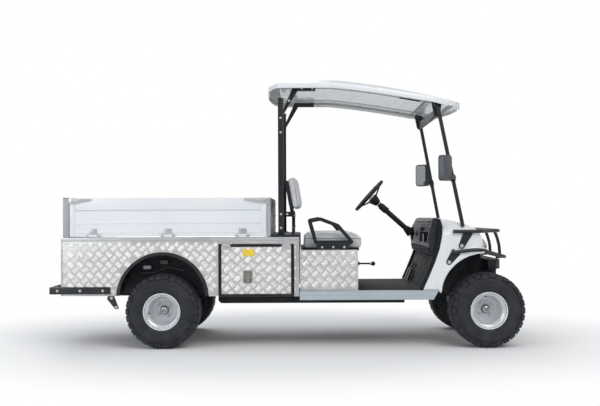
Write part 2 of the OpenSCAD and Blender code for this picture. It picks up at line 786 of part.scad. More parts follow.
// One closed shell swept from cross sections; each section is a crowned strip with a turned-down lip
roof_n = 28;
roof_m = 12;
roof_lip = 46;
function roof_lip_at(x) = roof_lip * (1 - 0.6 * pow(max(0, (x - roof_low_x) / (roof_x1 - roof_low_x)), 2));
roof_liner_h = 22;
function roof_section(x, drop) = let (half = roof_half_at(x) - drop * 0.8)
    [for (j = [0 : roof_m]) let (s = 2 * j / roof_m - 1, a = s * 90)
        [x, half * sin(a), roof_edge(x) - drop + (roof_lip_at(x) + roof_rise(x)) * pow(cos(a), 0.7)]];
module roof_canopy() {
    t = shell_t;
    xs = [for (i = [0 : roof_n]) roof_x0 + (roof_x1 - roof_x0) * (1 - cos(180 * i / roof_n)) / 2];
    cols = roof_m + 1;
    rows = len(xs);
    top = [for (x = xs) each roof_section(x, 0)];
    low = [for (x = xs) each [for (p = roof_section(x, 0))
        [p[0], p[1] * (1 - t / roof_half), roof_edge(x) - 1 + min(roof_liner_h + 1, 0.45 * (p[2] - roof_edge(x)))]]];
    n = cols * rows;
    faces = concat(
        [for (i = [0 : rows - 2], j = [0 : cols - 2]) each [
            [i * cols + j, i * cols + j + 1, (i + 1) * cols + j],
            [i * cols + j + 1, (i + 1) * cols + j + 1, (i + 1) * cols + j]]],
        [for (i = [0 : rows - 2], j = [0 : cols - 2]) each [
            [n + i * cols + j, n + (i + 1) * cols + j, n + i * cols + j + 1],
            [n + i * cols + j + 1, n + (i + 1) * cols + j, n + (i + 1) * cols + j + 1]]],
        [for (i = [0 : rows - 2], j = [0, cols - 1]) let (a = i * cols + j, b = (i + 1) * cols + j)
            each (j == 0 ? [[a, b, n + a], [b, n + b, n + a]] : [[a, n + a, b], [b, n + a, n + b]])],
        [for (j = [0 : cols - 2], i = [0, rows - 1]) let (a = i * cols + j, b = a + 1)
            each (i == 0 ? [[a, n + a, b], [b, n + a, n + b]] : [[a, b, n + a], [b, n + b, n + a]])]);
    color(white) polyhedron(concat(top, low), faces);
}

// Square rear posts with the braces that carry the roof
module rear_roof_posts() {
    h = post_w / 2;
    top = roof_edge(post_x) + roof_liner_h - seat_gap;
    post_top = roof_z - 72;
    side0 = post_y - 24;
    side1 = post_y + 1;
    color(black) both_sides() {
        block([post_x - h, post_y - h, deck_top + seat_gap], [post_x + h, post_y + h, post_top]);
        side_slab(side0, side1) polygon([
            [post_x + h - e, roof_z - 194], [post_x + 128, top - 34], [post_x + 265, top - 34],
            [post_x + 265, top], [post_x + 96, top], [post_x + h - e, roof_z - 148]]);
    }
}

// Leaning front struts with their foot plates and the crossbar under the roof
module front_roof_struts() {
    color(black) {
        both_sides() {
            bar(strut_foot, strut_head, strut_dia);
            bar(strut_head, [strut_head[0] - 30, strut_head[1], roof_edge(strut_head[0] - 30) + roof_liner_h - 15], strut_dia);
            translate(strut_head) sphere(d = strut_dia + 4);
        }
        block([strut_head[0] - 14, -strut_head[1], strut_head[2] - 56],
              [strut_head[0] + 6, strut_head[1], strut_head[2] + 4]);
    }
}

// Mirrors: a rounded housing turned to the driver on an arm from each strut
module mirrors() {
    z0 = 1262;
    lean = (z0 - strut_foot[2]) / (strut_head[2] - strut_foot[2]);
    at = strut_foot + (strut_head - strut_foot) * lean;
    y0 = at[1] + strut_dia / 2 + 0.6;
    c = [at[0] - 70, at[1] + 72, 1344];
    color(black) both_sides() {
        translate(c) rotate([0, 0, 38]) hull() for (y = [-40, 40], z = [-70, 70])
            translate([-20, y, z]) rotate([0, 90, 0]) cylinder(r = 26, h = 42, $fn = hull_fn);
        block([c[0], y0, z0], [at[0] + 14, y0 + 34, z0 + 28]);
    }
}

// ---- Cargo bed ----

// Bed floor sheet on its bearers
module bed_floor() {
    color([0.70, 0.71, 0.73]) {
        difference() {
            block([bed_rear_x + drop_t, -body_half + plate_t + drop_t, bed_z - bed_floor_t],
                  [head_x - seat_gap, body_half - plate_t - drop_t, bed_z]);
            // Notches round the corner posts
            both_sides() block([bed_rear_x, body_half - 5 - post_s - e, bed_z - bed_floor_t - e],
                               [bed_rear_x + post_s + e, body_half, bed_z + e]);
        }
    }
}

// Diamond plate sides with a wheel arch, and the frame round each toolbox door
module bed_side_plates() {
    opening_pad = 3;
    color(plate_grey) both_sides() difference() {
        side_slab(body_half - plate_t, body_half) polygon([
            [bed_rear_x - 13, plate_z], [plate_front_x, plate_z - 8],
            [plate_front_x, bed_z - top_rail_h - 3], [bed_rear_x - 13, bed_z - top_rail_h - 3]]);
        translate([arch_x, body_half + e, arch_z]) rotate([90, 0, 0]) cylinder(r = arch_r, h = plate_t + 2 * e);
        block([box_x0 - opening_pad, body_half - plate_t - e, box_z0 - 40],
              [box_x1 + opening_pad, body_half + e, box_z1 + opening_pad]);
    }
}

// Aluminium top rails and corner trims of the side plates
module bed_rails() {
    rail_top_z = bed_z - 3;
    color([0.82, 0.83, 0.85]) both_sides() {
        block([bed_rear_x - 13, body_half - plate_t - drop_t + seat_gap, rail_top_z - top_rail_h + seat_gap],
              [plate_front_x, body_half + 4, rail_top_z]);
        // Fixed hinge barrels beside each barrel of the drop side
        for (t = hinge_places, s = [-1, 1]) translate([side_x0 + t * side_len + s * hinge_lug_x, 0, 0]) {
            translate([-hinge_lug_w / 2, side_hinge_y, side_hinge_z]) rotate([0, 90, 0])
                cylinder(r = hinge_r, h = hinge_lug_w);
            block([-hinge_lug_w / 2, body_half - 4, rail_top_z - e], [hinge_lug_w / 2, side_hinge_y + 4, side_hinge_z - 4]);
        }
        // Fixed barrels over each toolbox door
        for (x = door_hinge_places, s = [-1, 1]) translate([x + s * (30 + seat_gap + 8), 0, 0]) {
            translate([-8, body_half + 8, door_hinge_z]) rotate([0, 90, 0]) cylinder(r = 4, h = 16);
            block([-8, body_half, door_hinge_z], [8, body_half + 8, door_hinge_z + 14]);
        }
    }
}

// Headboard behind the cab
module headboard() {
    color([0.80, 0.81, 0.83]) {
        block([head_x, -body_half + plate_t + drop_t, bed_z - bed_floor_t],
              [head_x + drop_t, body_half - plate_t - drop_t, bed_z + drop_h]);
        block([head_x, -body_half + 5, bed_z + seat_gap], [head_x + drop_t, body_half - 5, bed_z + drop_h]);
    }
}

// Posts at the rear corners of the bed
module corner_posts() {
    color([0.84, 0.85, 0.87]) both_sides()
        block([bed_rear_x, body_half - 5 - post_s, bed_z - 3 + seat_gap],
              [bed_rear_x + post_s, body_half - 5, bed_z + drop_h]);
}

// Outline of a drop side seen from its end: outer face ribbed by two grooves
module drop_panel(len) {
    groove = 6;
    color(white) difference() {
        cube([len, drop_t, drop_h - run_gap]);
        translate([30, -e, drop_h - run_gap - 100]) cube([len - 60, groove + e, 8]);
    }
}

// Hinge barrels of a drop side along X, below its bottom edge
module hinge_row(len) {
    for (t = hinge_places)
        translate([t * len - hinge_half, 0, 0]) rotate([0, 90, 0]) cylinder(r = hinge_r, h = 2 * hinge_half);
}

// Drop sides, with the outside face 5 mm inside the plates
side_x0 = bed_rear_x + post_s + run_gap;
side_len = head_x - run_gap - side_x0;
side_hinge_y = body_half + 5;
side_hinge_z = bed_z + 12;
module drop_side_right() {
    translate([side_x0, -body_half + 5, bed_z + run_gap]) drop_panel(side_len);
    color(white) translate([side_x0, -side_hinge_y, side_hinge_z]) hinge_row(side_len);
    color(white) for (t = hinge_places)
        block([side_x0 + t * side_len - hinge_half, -side_hinge_y, side_hinge_z],
              [side_x0 + t * side_len + hinge_half, -body_half + 6, side_hinge_z + 8]);
}
module drop_side_left() {
    mirror([0, 1, 0]) drop_side_right();
}

// Tailgate between the corner posts
gate_hinge_x = bed_rear_x - 10;
gate_places = [-380, 0, 380];
module tailgate() {
    half = body_half - 5 - post_s - run_gap;
    color(white) {
        difference() {
            block([bed_rear_x, -half, bed_z + run_gap], [bed_rear_x + drop_t, half, bed_z + drop_h]);
            block([bed_rear_x - e, -half + 30, bed_z + drop_h - 100], [bed_rear_x + 6, half - 30, bed_z + drop_h - 92]);
        }
        for (y = gate_places) {
            y_bar(gate_hinge_x, side_hinge_z, y - hinge_half, y + hinge_half, 2 * hinge_r);
            block([gate_hinge_x, y - hinge_half, side_hinge_z], [bed_rear_x + 6, y + hinge_half, side_hinge_z + 8]);
        }
    }
}

// Panel below the tailgate, with a top channel that carries its fixed hinge barrels
module rear_panel() {
    rail_top_z = bed_z - 3;
    half = body_half - plate_t - drop_t;
    color(plate_grey) {
        block([bed_rear_x - 13, -half, plate_z], [bed_rear_x - 13 + plate_t, half, rail_top_z - e]);
        block([bed_rear_x - 13, -half, rail_top_z - top_rail_h], [bed_rear_x + drop_t - seat_gap, half, rail_top_z]);
        for (y = gate_places, s = [-1, 1]) {
            y_bar(gate_hinge_x, side_hinge_z, y + s * hinge_lug_x - hinge_lug_w / 2,
                  y + s * hinge_lug_x + hinge_lug_w / 2, 2 * hinge_r);
            block([gate_hinge_x - 3, y + s * hinge_lug_x - hinge_lug_w / 2, rail_top_z - e],
                  [gate_hinge_x + 4, y + s * hinge_lug_x + hinge_lug_w / 2, side_hinge_z]);
        }
    }
}

// Toolboxes: five-walled boxes open at the side of the cart
module toolboxes() {
    wall = 3;
    lip = 12;
    y0 = body_half - box_depth;
    y1 = body_half - plate_t;
    top = bed_z - top_rail_h - 3;
    color([0.55, 0.56, 0.58]) both_sides() difference() {
        block([box_x0 - lip, y0, box_z0 + 8], [box_x1 + lip, y1, top]);
        block([box_x0 - lip + wall, y0 + wall, box_z0 + 8 + wall], [box_x1 + lip - wall, y1 + e, top - wall]);
        // Room for the closed door
        block([box_x0 - 3, body_half - door_t - 2, 0], [box_x1 + 3, y1 + e, box_z1 + 10]);
    }
}

// Toolbox doors, hinged along the top edge
module toolbox_door_right() {
    color(plate_grey) {
        block([box_x0 + door_gap / 2, -body_half - 4, box_z0],
              [box_x1 - door_gap / 2, -body_half + door_t - 4, box_z1 - 3]);
        for (x = door_hinge_places) {
            translate([x - 30, -body_half - 8, door_hinge_z]) rotate([0, 90, 0]) cylinder(r = 4, h = 60);
            block([x - 30, -body_half - 8, box_z1 - 20], [x + 30, -body_half - 3.9, door_hinge_z]);
        }
    }
}
module toolbox_door_left() {
    mirror([0, 1, 0]) toolbox_door_right();
}

// Black channel round the rear of the bed: a step bar and two side arms
module rear_bumper() {
    h = 53;
    x0 = -overall_length / 2;
    arm_x1 = rear_x - 388;
    color(black) {
        block([x0, -body_half - 10, plate_z + 13], [x0 + 70, body_half + 10, plate_z + 13 + h]);
        both_sides() {
            block([x0 + 69, body_half + seat_gap, plate_z + 13], [arm_x1, body_half + 10, plate_z + 13 + h]);
            block([x0 + 20, rail_y - 25, rail_top + 4], [rail_rear_x - seat_gap, rail_y + 25, plate_z - seat_gap]);
            block([x0 + 20, rail_y - 25, rail_top + 4], [x0 + 60, rail_y + 25, plate_z + 14]);
        }
    }
}

frame_rails();
crossmembers();
front_axle();
rear_axle();
suspension();
battery_pack();
floor_pan();
rocker_panels();
front_cowl();
wheel_arch_liners();
dashboard();
front_bumper();
headlights();
brush_guard();
seat_side_plates();
seat_front_panel();
rear_deck();
seat_base();
seat_cushion();
backrest_frame();
backrest_pad();
armrests();
roof_canopy();
rear_roof_posts();
front_roof_struts();
mirrors();
steering_column();
steering_wheel();
pedals();
direction_lever();
bed_floor();
bed_side_plates();
bed_rails();
headboard();
corner_posts();
drop_side_left();
drop_side_right();
tailgate();
rear_panel();
toolboxes();
toolbox_door_left();
toolbox_door_right();
rear_bumper();
knuckle_left();
knuckle_right();
tie_rod();
tyre_front_left();
tyre_front_right();
tyre_rear_left();
tyre_rear_right();
rim_front_left();
rim_front_right();
rim_rear_left();
rim_rear_right();
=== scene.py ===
"""Utility golf cart with a drop-side cargo bed: its finished pieces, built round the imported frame."""
from math import asin, ceil, copysign, cos, pi, radians, sin, sqrt
import bmesh
import bpy
from mathutils import Matrix, Vector
from mathutils.bvhtree import BVHTree


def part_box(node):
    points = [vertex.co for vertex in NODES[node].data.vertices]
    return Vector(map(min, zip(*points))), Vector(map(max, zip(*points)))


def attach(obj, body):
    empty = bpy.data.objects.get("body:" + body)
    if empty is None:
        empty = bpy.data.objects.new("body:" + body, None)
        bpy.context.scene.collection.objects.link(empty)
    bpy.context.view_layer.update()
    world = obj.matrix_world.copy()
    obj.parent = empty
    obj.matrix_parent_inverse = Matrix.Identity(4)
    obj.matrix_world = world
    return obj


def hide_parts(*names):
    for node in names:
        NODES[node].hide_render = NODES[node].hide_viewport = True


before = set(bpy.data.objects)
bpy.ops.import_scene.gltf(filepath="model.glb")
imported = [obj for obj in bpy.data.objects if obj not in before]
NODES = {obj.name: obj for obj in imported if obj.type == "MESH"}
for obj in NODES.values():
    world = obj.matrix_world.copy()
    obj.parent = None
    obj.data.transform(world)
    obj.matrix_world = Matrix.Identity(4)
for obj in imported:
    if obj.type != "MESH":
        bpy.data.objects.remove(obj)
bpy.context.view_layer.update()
SCENE = bpy.context.scene
LEFT, RIGHT = 1.0, -1.0
SIDES = (("left", LEFT), ("right", RIGHT))


# ---- Mesh helpers ----

def link(name, mesh):
    """A new object with this mesh, at the origin."""
    obj = bpy.data.objects.new(name, mesh)
    SCENE.collection.objects.link(obj)
    return obj


def smooth(obj, angle=32):
    """Smooth shading with a hard edge wherever two faces meet at more than the angle."""
    mesh = obj.data
    mesh.shade_smooth()
    mesh.set_sharp_from_angle(angle=radians(angle))
    return obj


def mesh_piece(name, points, faces, finish, angle=32):
    """A closed mesh from points and faces, doubles merged and faces turned outwards."""
    mesh = bpy.data.meshes.new(name)
    mesh.from_pydata([tuple(p) for p in points], [], faces)
    bm = bmesh.new()
    bm.from_mesh(mesh)
    bmesh.ops.remove_doubles(bm, verts=bm.verts, dist=1e-5)
    bmesh.ops.dissolve_degenerate(bm, edges=bm.edges, dist=1e-6)
    bmesh.ops.recalc_face_normals(bm, faces=bm.faces)
    bm.to_mesh(mesh)
    bm.free()
    mesh.materials.append(finish)
    return smooth(link(name, mesh), angle)


def bevelled(obj, width, segments=2, angle=35):
    """The piece with every edge sharper than the angle rounded off."""
    bm = bmesh.new()
    bm.from_mesh(obj.data)
    edges = [e for e in bm.edges if len(e.link_faces) == 2 and e.calc_face_angle(0) > radians(angle)]
    bmesh.ops.bevel(
        bm, geom=edges, offset=width, segments=segments, profile=0.5, affect="EDGES", clamp_overlap=True)
    bm.to_mesh(obj.data)
    bm.free()
    return smooth(obj, 45)


def block(name, low, high, finish, edge=0.0015):
    """A block between two corners, given in any order, with softened edges."""
    xs, ys, zs = (sorted(pair) for pair in zip(low, high))
    points = [(x, y, z) for x in xs for y in ys for z in zs]
    faces = [(0, 1, 3, 2), (4, 6, 7, 5), (0, 4, 5, 1), (2, 3, 7, 6), (0, 2, 6, 4), (1, 5, 7, 3)]
    obj = mesh_piece(name, points, faces, finish)
    limit = 0.45 * min(abs(b - a) for a, b in zip(low, high))
    return bevelled(obj, min(edge, limit)) if edge else obj


def slab(name, outline, y0, y1, finish, edge=0.0015):
    """A side outline of (x, z) points given thickness from y0 to y1."""
    n = len(outline)
    points = [(x, y, z) for y in (y0, y1) for x, z in outline]
    faces = [tuple(range(n)), tuple(range(2 * n - 1, n - 1, -1))]
    faces += [(i, (i + 1) % n, n + (i + 1) % n, n + i) for i in range(n)]
    obj = mesh_piece(name, points, faces, finish)
    return bevelled(obj, edge) if edge else obj


def lathe(name, profile, finish, steps=64, angle=32):
    """A closed (radius, height) profile turned about Z."""
    n = len(profile)
    points, faces = [], []
    for i in range(steps):
        a = 2 * pi * i / steps
        points += [(r * cos(a), r * sin(a), h) for r, h in profile]
    for i in range(steps):
        j = (i + 1) % steps
        for k in range(n):
            m = (k + 1) % n
            faces.append((i * n + k, j * n + k, j * n + m, i * n + m))
    return mesh_piece(name, points, faces, finish, angle)


def at_side(place, side):
    """A place or a direction carried over to one side of the cart."""
    return Vector((place.x, side * place.y, place.z))


def rounded_box(a, b, r):
    """Outline of a rectangle of half sizes a and b whose corners are rounded at radius r."""
    outline = []
    for sa, sb, start in ((1, 1, 0), (-1, 1, 90), (-1, -1, 180), (1, -1, 270)):
        turn = [radians(start + 15 * i) for i in range(7)]
        outline += [(sa * (a - r) + r * cos(t), sb * (b - r) + r * sin(t)) for t in turn]
    return outline


def placed(obj, at=(0, 0, 0), axis=(0, 0, 1), spin=0.0, size=(1, 1, 1)):
    """Moves a piece's mesh so that its own Z follows an axis, and leaves the object at the origin."""
    turn = Vector((0, 0, 1)).rotation_difference(Vector(axis)).to_matrix().to_4x4()
    obj.data.transform(
        Matrix.Translation(Vector(at)) @ turn @ Matrix.Rotation(spin, 4, "Z") @ Matrix.Diagonal((*size, 1)))
    obj.data.update()
    return obj


def rounded_path(points, radius, steps=6):
    """A line through the points with each corner turned on an arc-like curve."""
    points = [Vector(p) for p in points]
    path = [points[0]]
    for before, here, after in zip(points, points[1:], points[2:]):
        back, on = before - here, after - here
        reach = min(radius, 0.48 * back.length, 0.48 * on.length)
        a, b = here + back.normalized() * reach, here + on.normalized() * reach
        for i in range(steps + 1):
            t = i / steps
            path.append(a * (1 - t) ** 2 + here * 2 * t * (1 - t) + b * t ** 2)
    return path + [points[-1]]


def tube(name, points, radius, finish, corner=0.05, sides=14, closed=False):
    """A round tube along a path with rounded corners, closed at its ends."""
    path = rounded_path(points, corner) if corner else [Vector(p) for p in points]
    count = len(path)
    verts, faces = [], []
    side = None
    for i, here in enumerate(path):
        ahead = path[(i + 1) % count] if closed or i + 1 < count else here
        behind = path[i - 1] if closed or i else here
        along = (ahead - behind).normalized()
        if side is None:
            side = along.orthogonal().normalized()
            if abs(along.z) < 0.9:
                side = along.cross(Vector((0, 0, 1))).normalized()
        side = (side - along * side.dot(along)).normalized()
        other = along.cross(side)
        verts += [here + side * radius * cos(a) + other * radius * sin(a)
                  for a in (2 * pi * k / sides for k in range(sides))]
    for i in range(count if closed else count - 1):
        j = (i + 1) % count
        faces += [(i * sides + k, i * sides + (k + 1) % sides,
                   j * sides + (k + 1) % sides, j * sides + k) for k in range(sides)]
    if not closed:
        faces += [tuple(range(sides)), tuple(range((count - 1) * sides, count * sides))]
    return mesh_piece(name, verts, faces, finish, 50)


def bolt(name, at, axis, finish, radius=0.007, height=0.005):
    """A domed hexagon bolt on a washer."""
    r, h = radius, height
    head = lathe(
        name, [(0.0002, h), (0.55 * r, h), (0.85 * r, 0.75 * h), (0.9 * r, 0.3 * h), (1.3 * r, 0.25 * h),
        (1.35 * r, 0), (0.0002, 0)], finish, 12)
    return placed(head, at, axis)


def merged(name, pieces):
    """Several pieces as one mesh, each keeping its finish."""
    finishes, bm = [], bmesh.new()
    for piece in pieces:
        start = len(bm.faces)
        bm.from_mesh(piece.data)
        bm.faces.ensure_lookup_table()
        slots = []
        for m in piece.data.materials:
            if m not in finishes:
                finishes.append(m)
            slots.append(finishes.index(m))
        for face in bm.faces[start:]:
            face.material_index = slots[min(face.material_index, len(slots) - 1)]
    mesh = bpy.data.meshes.new(name)
    bm.to_mesh(mesh)
    bm.free()
    for m in finishes:
        mesh.materials.append(m)
    for piece in pieces:
        bpy.data.objects.remove(piece)
    return link(name, mesh)


def settled(obj):
    """The piece with its modifiers turned into plain mesh."""
    view = bpy.context.evaluated_depsgraph_get()
    view.update()
    mesh = bpy.data.meshes.new_from_object(obj.evaluated_get(view))
    obj.modifiers.clear()
    obj.data = mesh
    return obj


def fit(piece, body, slot_name, *nodes):
    """Rides a finished piece on its body and hides the nodes it stands for."""
    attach(piece, body)
    if nodes:
        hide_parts(*nodes)
    return piece


# ---- Shader groups ----

def shader_group(name, inputs, outputs, build):
    """A shader node group with named sockets, filled by a build function."""
    group = bpy.data.node_groups.new(name, "ShaderNodeTree")
    for label, kind, value in inputs:
        socket = group.interface.new_socket(label, in_out="INPUT", socket_type=kind)
        if value is not None:
            socket.default_value = value
    for label, kind in outputs:
        group.interface.new_socket(label, in_out="OUTPUT", socket_type=kind)
    build(group.nodes, group.links, group.nodes.new("NodeGroupInput").outputs,
          group.nodes.new("NodeGroupOutput").inputs)
    return group


def math_node(nodes, links, operation, *values):
    node = nodes.new("ShaderNodeMath")
    node.operation = operation
    for socket, value in zip(node.inputs, values):
        if hasattr(value, "is_output"):
            links.new(value, socket)
        else:
            socket.default_value = value
    return node.outputs[0]


def mix_colour(nodes, links, factor, a, b, blend="MIX"):
    node = nodes.new("ShaderNodeMix")
    node.data_type = "RGBA"
    node.blend_type = blend
    for socket, value in zip((node.inputs[0], node.inputs[6], node.inputs[7]), (factor, a, b)):
        if hasattr(value, "is_output"):
            links.new(value, socket)
        else:
            socket.default_value = value
    return node.outputs[2]


def ramp(nodes, links, value, low, high):
    """0 below the low value and 1 above the high one, with a smooth rise between."""
    node = nodes.new("ShaderNodeMapRange")
    node.interpolation_type = "SMOOTHSTEP"
    links.new(value, node.inputs["Value"])
    for label, x in (("From Min", low), ("From Max", high)):
        if hasattr(x, "is_output"):
            links.new(x, node.inputs[label])
        else:
            node.inputs[label].default_value = x
    return node.outputs[0]


def noise_node(nodes, links, where, scale, detail=3.0, rough=0.55):
    node = nodes.new("ShaderNodeTexNoise")
    links.new(where, node.inputs["Vector"])
    if hasattr(scale, "is_output"):
        links.new(scale, node.inputs["Scale"])
    else:
        node.inputs["Scale"].default_value = scale
    node.inputs["Detail"].default_value = detail
    node.inputs["Roughness"].default_value = rough
    return node.outputs[0]


def object_place(nodes, links, scale=None):
    """Object coordinates, stretched by a vector where one is given."""
    where = nodes.new("ShaderNodeTexCoord").outputs["Object"]
    if scale is None:
        return where
    node = nodes.new("ShaderNodeVectorMath")
    node.operation = "MULTIPLY"
    links.new(where, node.inputs[0])
    if hasattr(scale, "is_output"):
        links.new(scale, node.inputs[1])
    else:
        node.inputs[1].default_value = scale
    return node.outputs[0]


COLOUR, FLOAT, VECTOR = "NodeSocketColor", "NodeSocketFloat", "NodeSocketVector"


def build_ageing(nodes, links, given, out):
    """Slow colour drift, road dust that gathers low down, and faint smears in the gloss."""
    where = object_place(nodes, links)
    drift = ramp(nodes, links, noise_node(nodes, links, where, given["Scale"], 4.0), 0.35, 0.7)
    tint = mix_colour(
        nodes, links, math_node(nodes, links, "MULTIPLY", drift, given["Drift"]), given["Colour"],
        given["Second"])
    height = nodes.new("ShaderNodeSeparateXYZ")
    links.new(where, height.inputs[0])
    low = math_node(
        nodes, links, "SUBTRACT", 1.0, ramp(nodes, links, height.outputs[2], 0.1, given["Dust height"]))
    patches = ramp(nodes, links, noise_node(nodes, links, where, 11.0, 6.0, 0.65), 0.34, 0.72)
    dust = math_node(
        nodes, links, "MULTIPLY", math_node(nodes, links, "MULTIPLY", low, patches), given["Dust"])
    links.new(mix_colour(nodes, links, dust, tint, given["Dust colour"]), out["Colour"])
    smear = noise_node(nodes, links, object_place(nodes, links, (5.0, 5.0, 17.0)), 1.6, 5.0, 0.6)
    rough = math_node(
        nodes, links, "MULTIPLY_ADD", ramp(nodes, links, smear, 0.3, 0.75), given["Smear"],
        given["Roughness"])
    links.new(math_node(nodes, links, "MULTIPLY_ADD", dust, 0.35, rough), out["Roughness"])


AGEING = shader_group("ageing", [
    ("Colour", COLOUR, (0.5, 0.5, 0.5, 1)), ("Second", COLOUR, (0.4, 0.4, 0.4, 1)),
    ("Drift", FLOAT, 0.5), ("Scale", FLOAT, 3.0), ("Dust", FLOAT, 0.3), ("Dust height", FLOAT, 0.7),
    ("Dust colour", COLOUR, (0.26, 0.26, 0.255, 1)), ("Roughness", FLOAT, 0.4), ("Smear", FLOAT, 0.1)],
    [("Colour", COLOUR), ("Roughness", FLOAT)], build_ageing)


def build_grain(nodes, links, given, out):
    """Fine moulded or cast grain: small cells over soft noise."""
    where = object_place(nodes, links, given["Stretch"])
    cells = nodes.new("ShaderNodeTexVoronoi")
    cells.feature = "SMOOTH_F1"
    links.new(where, cells.inputs["Vector"])
    links.new(given["Scale"], cells.inputs["Scale"])
    cells.inputs["Smoothness"].default_value = 0.6
    soft = noise_node(nodes, links, where, math_node(nodes, links, "MULTIPLY", given["Scale"], 0.31), 4.0)
    links.new(math_node(nodes, links, "MULTIPLY_ADD", soft, given["Softness"], cells.outputs["Distance"]),
              out["Height"])


GRAIN = shader_group("grain", [
    ("Scale", FLOAT, 400.0), ("Stretch", VECTOR, (1.0, 1.0, 1.0)), ("Softness", FLOAT, 0.8)],
    [("Height", FLOAT)], build_grain)


def build_lay(nodes, links, given, out):
    """Long fine lines, as rolling, brushing or extruding leaves on metal."""
    where = object_place(nodes, links, given["Stretch"])
    fine = noise_node(nodes, links, where, given["Scale"], 2.0, 0.7)
    broad = noise_node(nodes, links, where, math_node(nodes, links, "MULTIPLY", given["Scale"], 0.13), 3.0)
    links.new(math_node(nodes, links, "MULTIPLY_ADD", broad, 0.6, fine), out["Height"])
    links.new(ramp(nodes, links, fine, 0.35, 0.68), out["Mask"])


LAY = shader_group(
    "metal lay", [("Scale", FLOAT, 60.0), ("Stretch", VECTOR, (0.05, 1.0, 1.0))],
    [("Height", FLOAT), ("Mask", FLOAT)], build_lay)


def build_chips(nodes, links, given, out):
    """Small scattered chips and scuffs that show the metal or primer."""
    where = object_place(nodes, links)
    specks = noise_node(nodes, links, where, given["Scale"], 6.0, 0.75)
    area = ramp(nodes, links, noise_node(nodes, links, where, 4.2, 3.0), 0.5, 0.75)
    mask = math_node(nodes, links, "MULTIPLY", ramp(nodes, links, specks, 0.63, 0.67), area)
    links.new(math_node(nodes, links, "MULTIPLY", mask, given["Amount"]), out["Mask"])


CHIPS = shader_group(
    "chips", [("Scale", FLOAT, 70.0), ("Amount", FLOAT, 0.6)], [("Mask", FLOAT)], build_chips)


# ---- Finishes ----

def finish(name, colour, second, roughness, metallic=0.0, coat=0.0, sheen=0.0, specular=0.5,
           drift=0.6, scale=3.0, dust=0.0, dust_height=0.7, smear=0.08,
           grain=None, lay=None, bump=0.3, depth=0.0003, chips=None):
    """A finish on the principled shader: aged colour, grain or lay in its bump, and chips."""
    material = bpy.data.materials.new(name)
    material.use_nodes = True
    nodes, links = material.node_tree.nodes, material.node_tree.links
    shader = nodes["Principled BSDF"]
    shader.inputs["Metallic"].default_value = metallic
    shader.inputs["Specular IOR Level"].default_value = specular
    shader.inputs["Coat Weight"].default_value = coat
    shader.inputs["Coat Roughness"].default_value = 0.06
    shader.inputs["Sheen Weight"].default_value = sheen
    shader.inputs["Sheen Roughness"].default_value = 0.4

    def use(group, **values):
        node = nodes.new("ShaderNodeGroup")
        node.node_tree = group
        for label, value in values.items():
            node.inputs[label.replace("_", " ")].default_value = value
        return node

    aged = use(AGEING, Colour=(*colour, 1), Second=(*second, 1), Drift=drift, Scale=scale, Dust=dust,
               Dust_height=dust_height, Roughness=roughness, Smear=smear)
    surface = aged.outputs["Colour"]
    if chips:
        mask = use(CHIPS, Scale=chips[0], Amount=chips[1]).outputs["Mask"]
        surface = mix_colour(nodes, links, mask, surface, (*chips[2], 1))
    height = None
    if grain:
        height = use(GRAIN, Scale=grain[0], Stretch=grain[1], Softness=grain[2]).outputs["Height"]
    if lay:
        lines = use(LAY, Scale=lay[0], Stretch=lay[1])
        height = lines.outputs["Height"]
        darker = math_node(nodes, links, "MULTIPLY", lines.outputs["Mask"], lay[2])
        surface = mix_colour(nodes, links, darker, surface, (0.25, 0.25, 0.26, 1), "MIX")
    links.new(surface, shader.inputs["Base Color"])
    links.new(aged.outputs["Roughness"], shader.inputs["Roughness"])
    if height is not None:
        node = nodes.new("ShaderNodeBump")
        node.inputs["Strength"].default_value = bump
        node.inputs["Distance"].default_value = depth
        links.new(height, node.inputs["Height"])
        links.new(node.outputs["Normal"], shader.inputs["Normal"])
    return material


EVEN = (1.0, 1.0, 1.0)
WHITE_GELCOAT = finish(
    "white gelcoat", (0.8, 0.82, 0.84), (0.73, 0.76, 0.79), 0.24, coat=0.6, drift=0.5, scale=1.6, dust=0.22,
    dust_height=0.75, grain=(90.0, EVEN, 1.2), bump=0.05, depth=0.0006)
ROOF_UNDERSIDE = finish(
    "roof liner", (0.31, 0.32, 0.29), (0.27, 0.28, 0.255), 0.62, drift=0.7, scale=2.2,
    grain=(260.0, EVEN, 1.0), bump=0.25, depth=0.0006)
WHITE_COAT = finish(
    "white powder coat", (0.79, 0.82, 0.85), (0.7, 0.74, 0.78), 0.36, coat=0.25, drift=0.5, scale=2.0,
    dust=0.12, dust_height=1.1, grain=(500.0, EVEN, 1.4), bump=0.12, chips=(60.0, 0.35, (0.45, 0.46, 0.47)))
HEADBOARD_GREY = finish(
    "headboard grey", (0.42, 0.43, 0.45), (0.34, 0.35, 0.37), 0.42, dust=0.1, grain=(480.0, EVEN, 1.2),
    bump=0.12)
TREAD_PLATE = finish(
    "tread plate", (0.66, 0.66, 0.65), (0.5, 0.51, 0.52), 0.36, metallic=0.75, drift=0.55, scale=5.0,
    dust=0.3, dust_height=0.75, smear=0.16, lay=(70.0, (0.06, 0.06, 1.0), 0.22), bump=0.12)
# The raised bars get a lighter, cream copy of the tread plate metal: a painted highlight where the bars catch
# the light.
PLATE_BARS_PAINTED_HIGHLIGHT = finish(
    "tread plate bars", (0.86, 0.85, 0.81), (0.72, 0.71, 0.69), 0.25, metallic=0.7, drift=0.4, scale=9.0,
    dust=0.1, lay=(140.0, EVEN, 0.15), bump=0.1, depth=0.0002)
RAIL_ALUMINIUM = finish(
    "mill aluminium", (0.62, 0.63, 0.65), (0.5, 0.51, 0.53), 0.33, metallic=0.85, drift=0.5, scale=4.0,
    dust=0.12, lay=(90.0, (0.03, 1.0, 1.0), 0.25), bump=0.15)
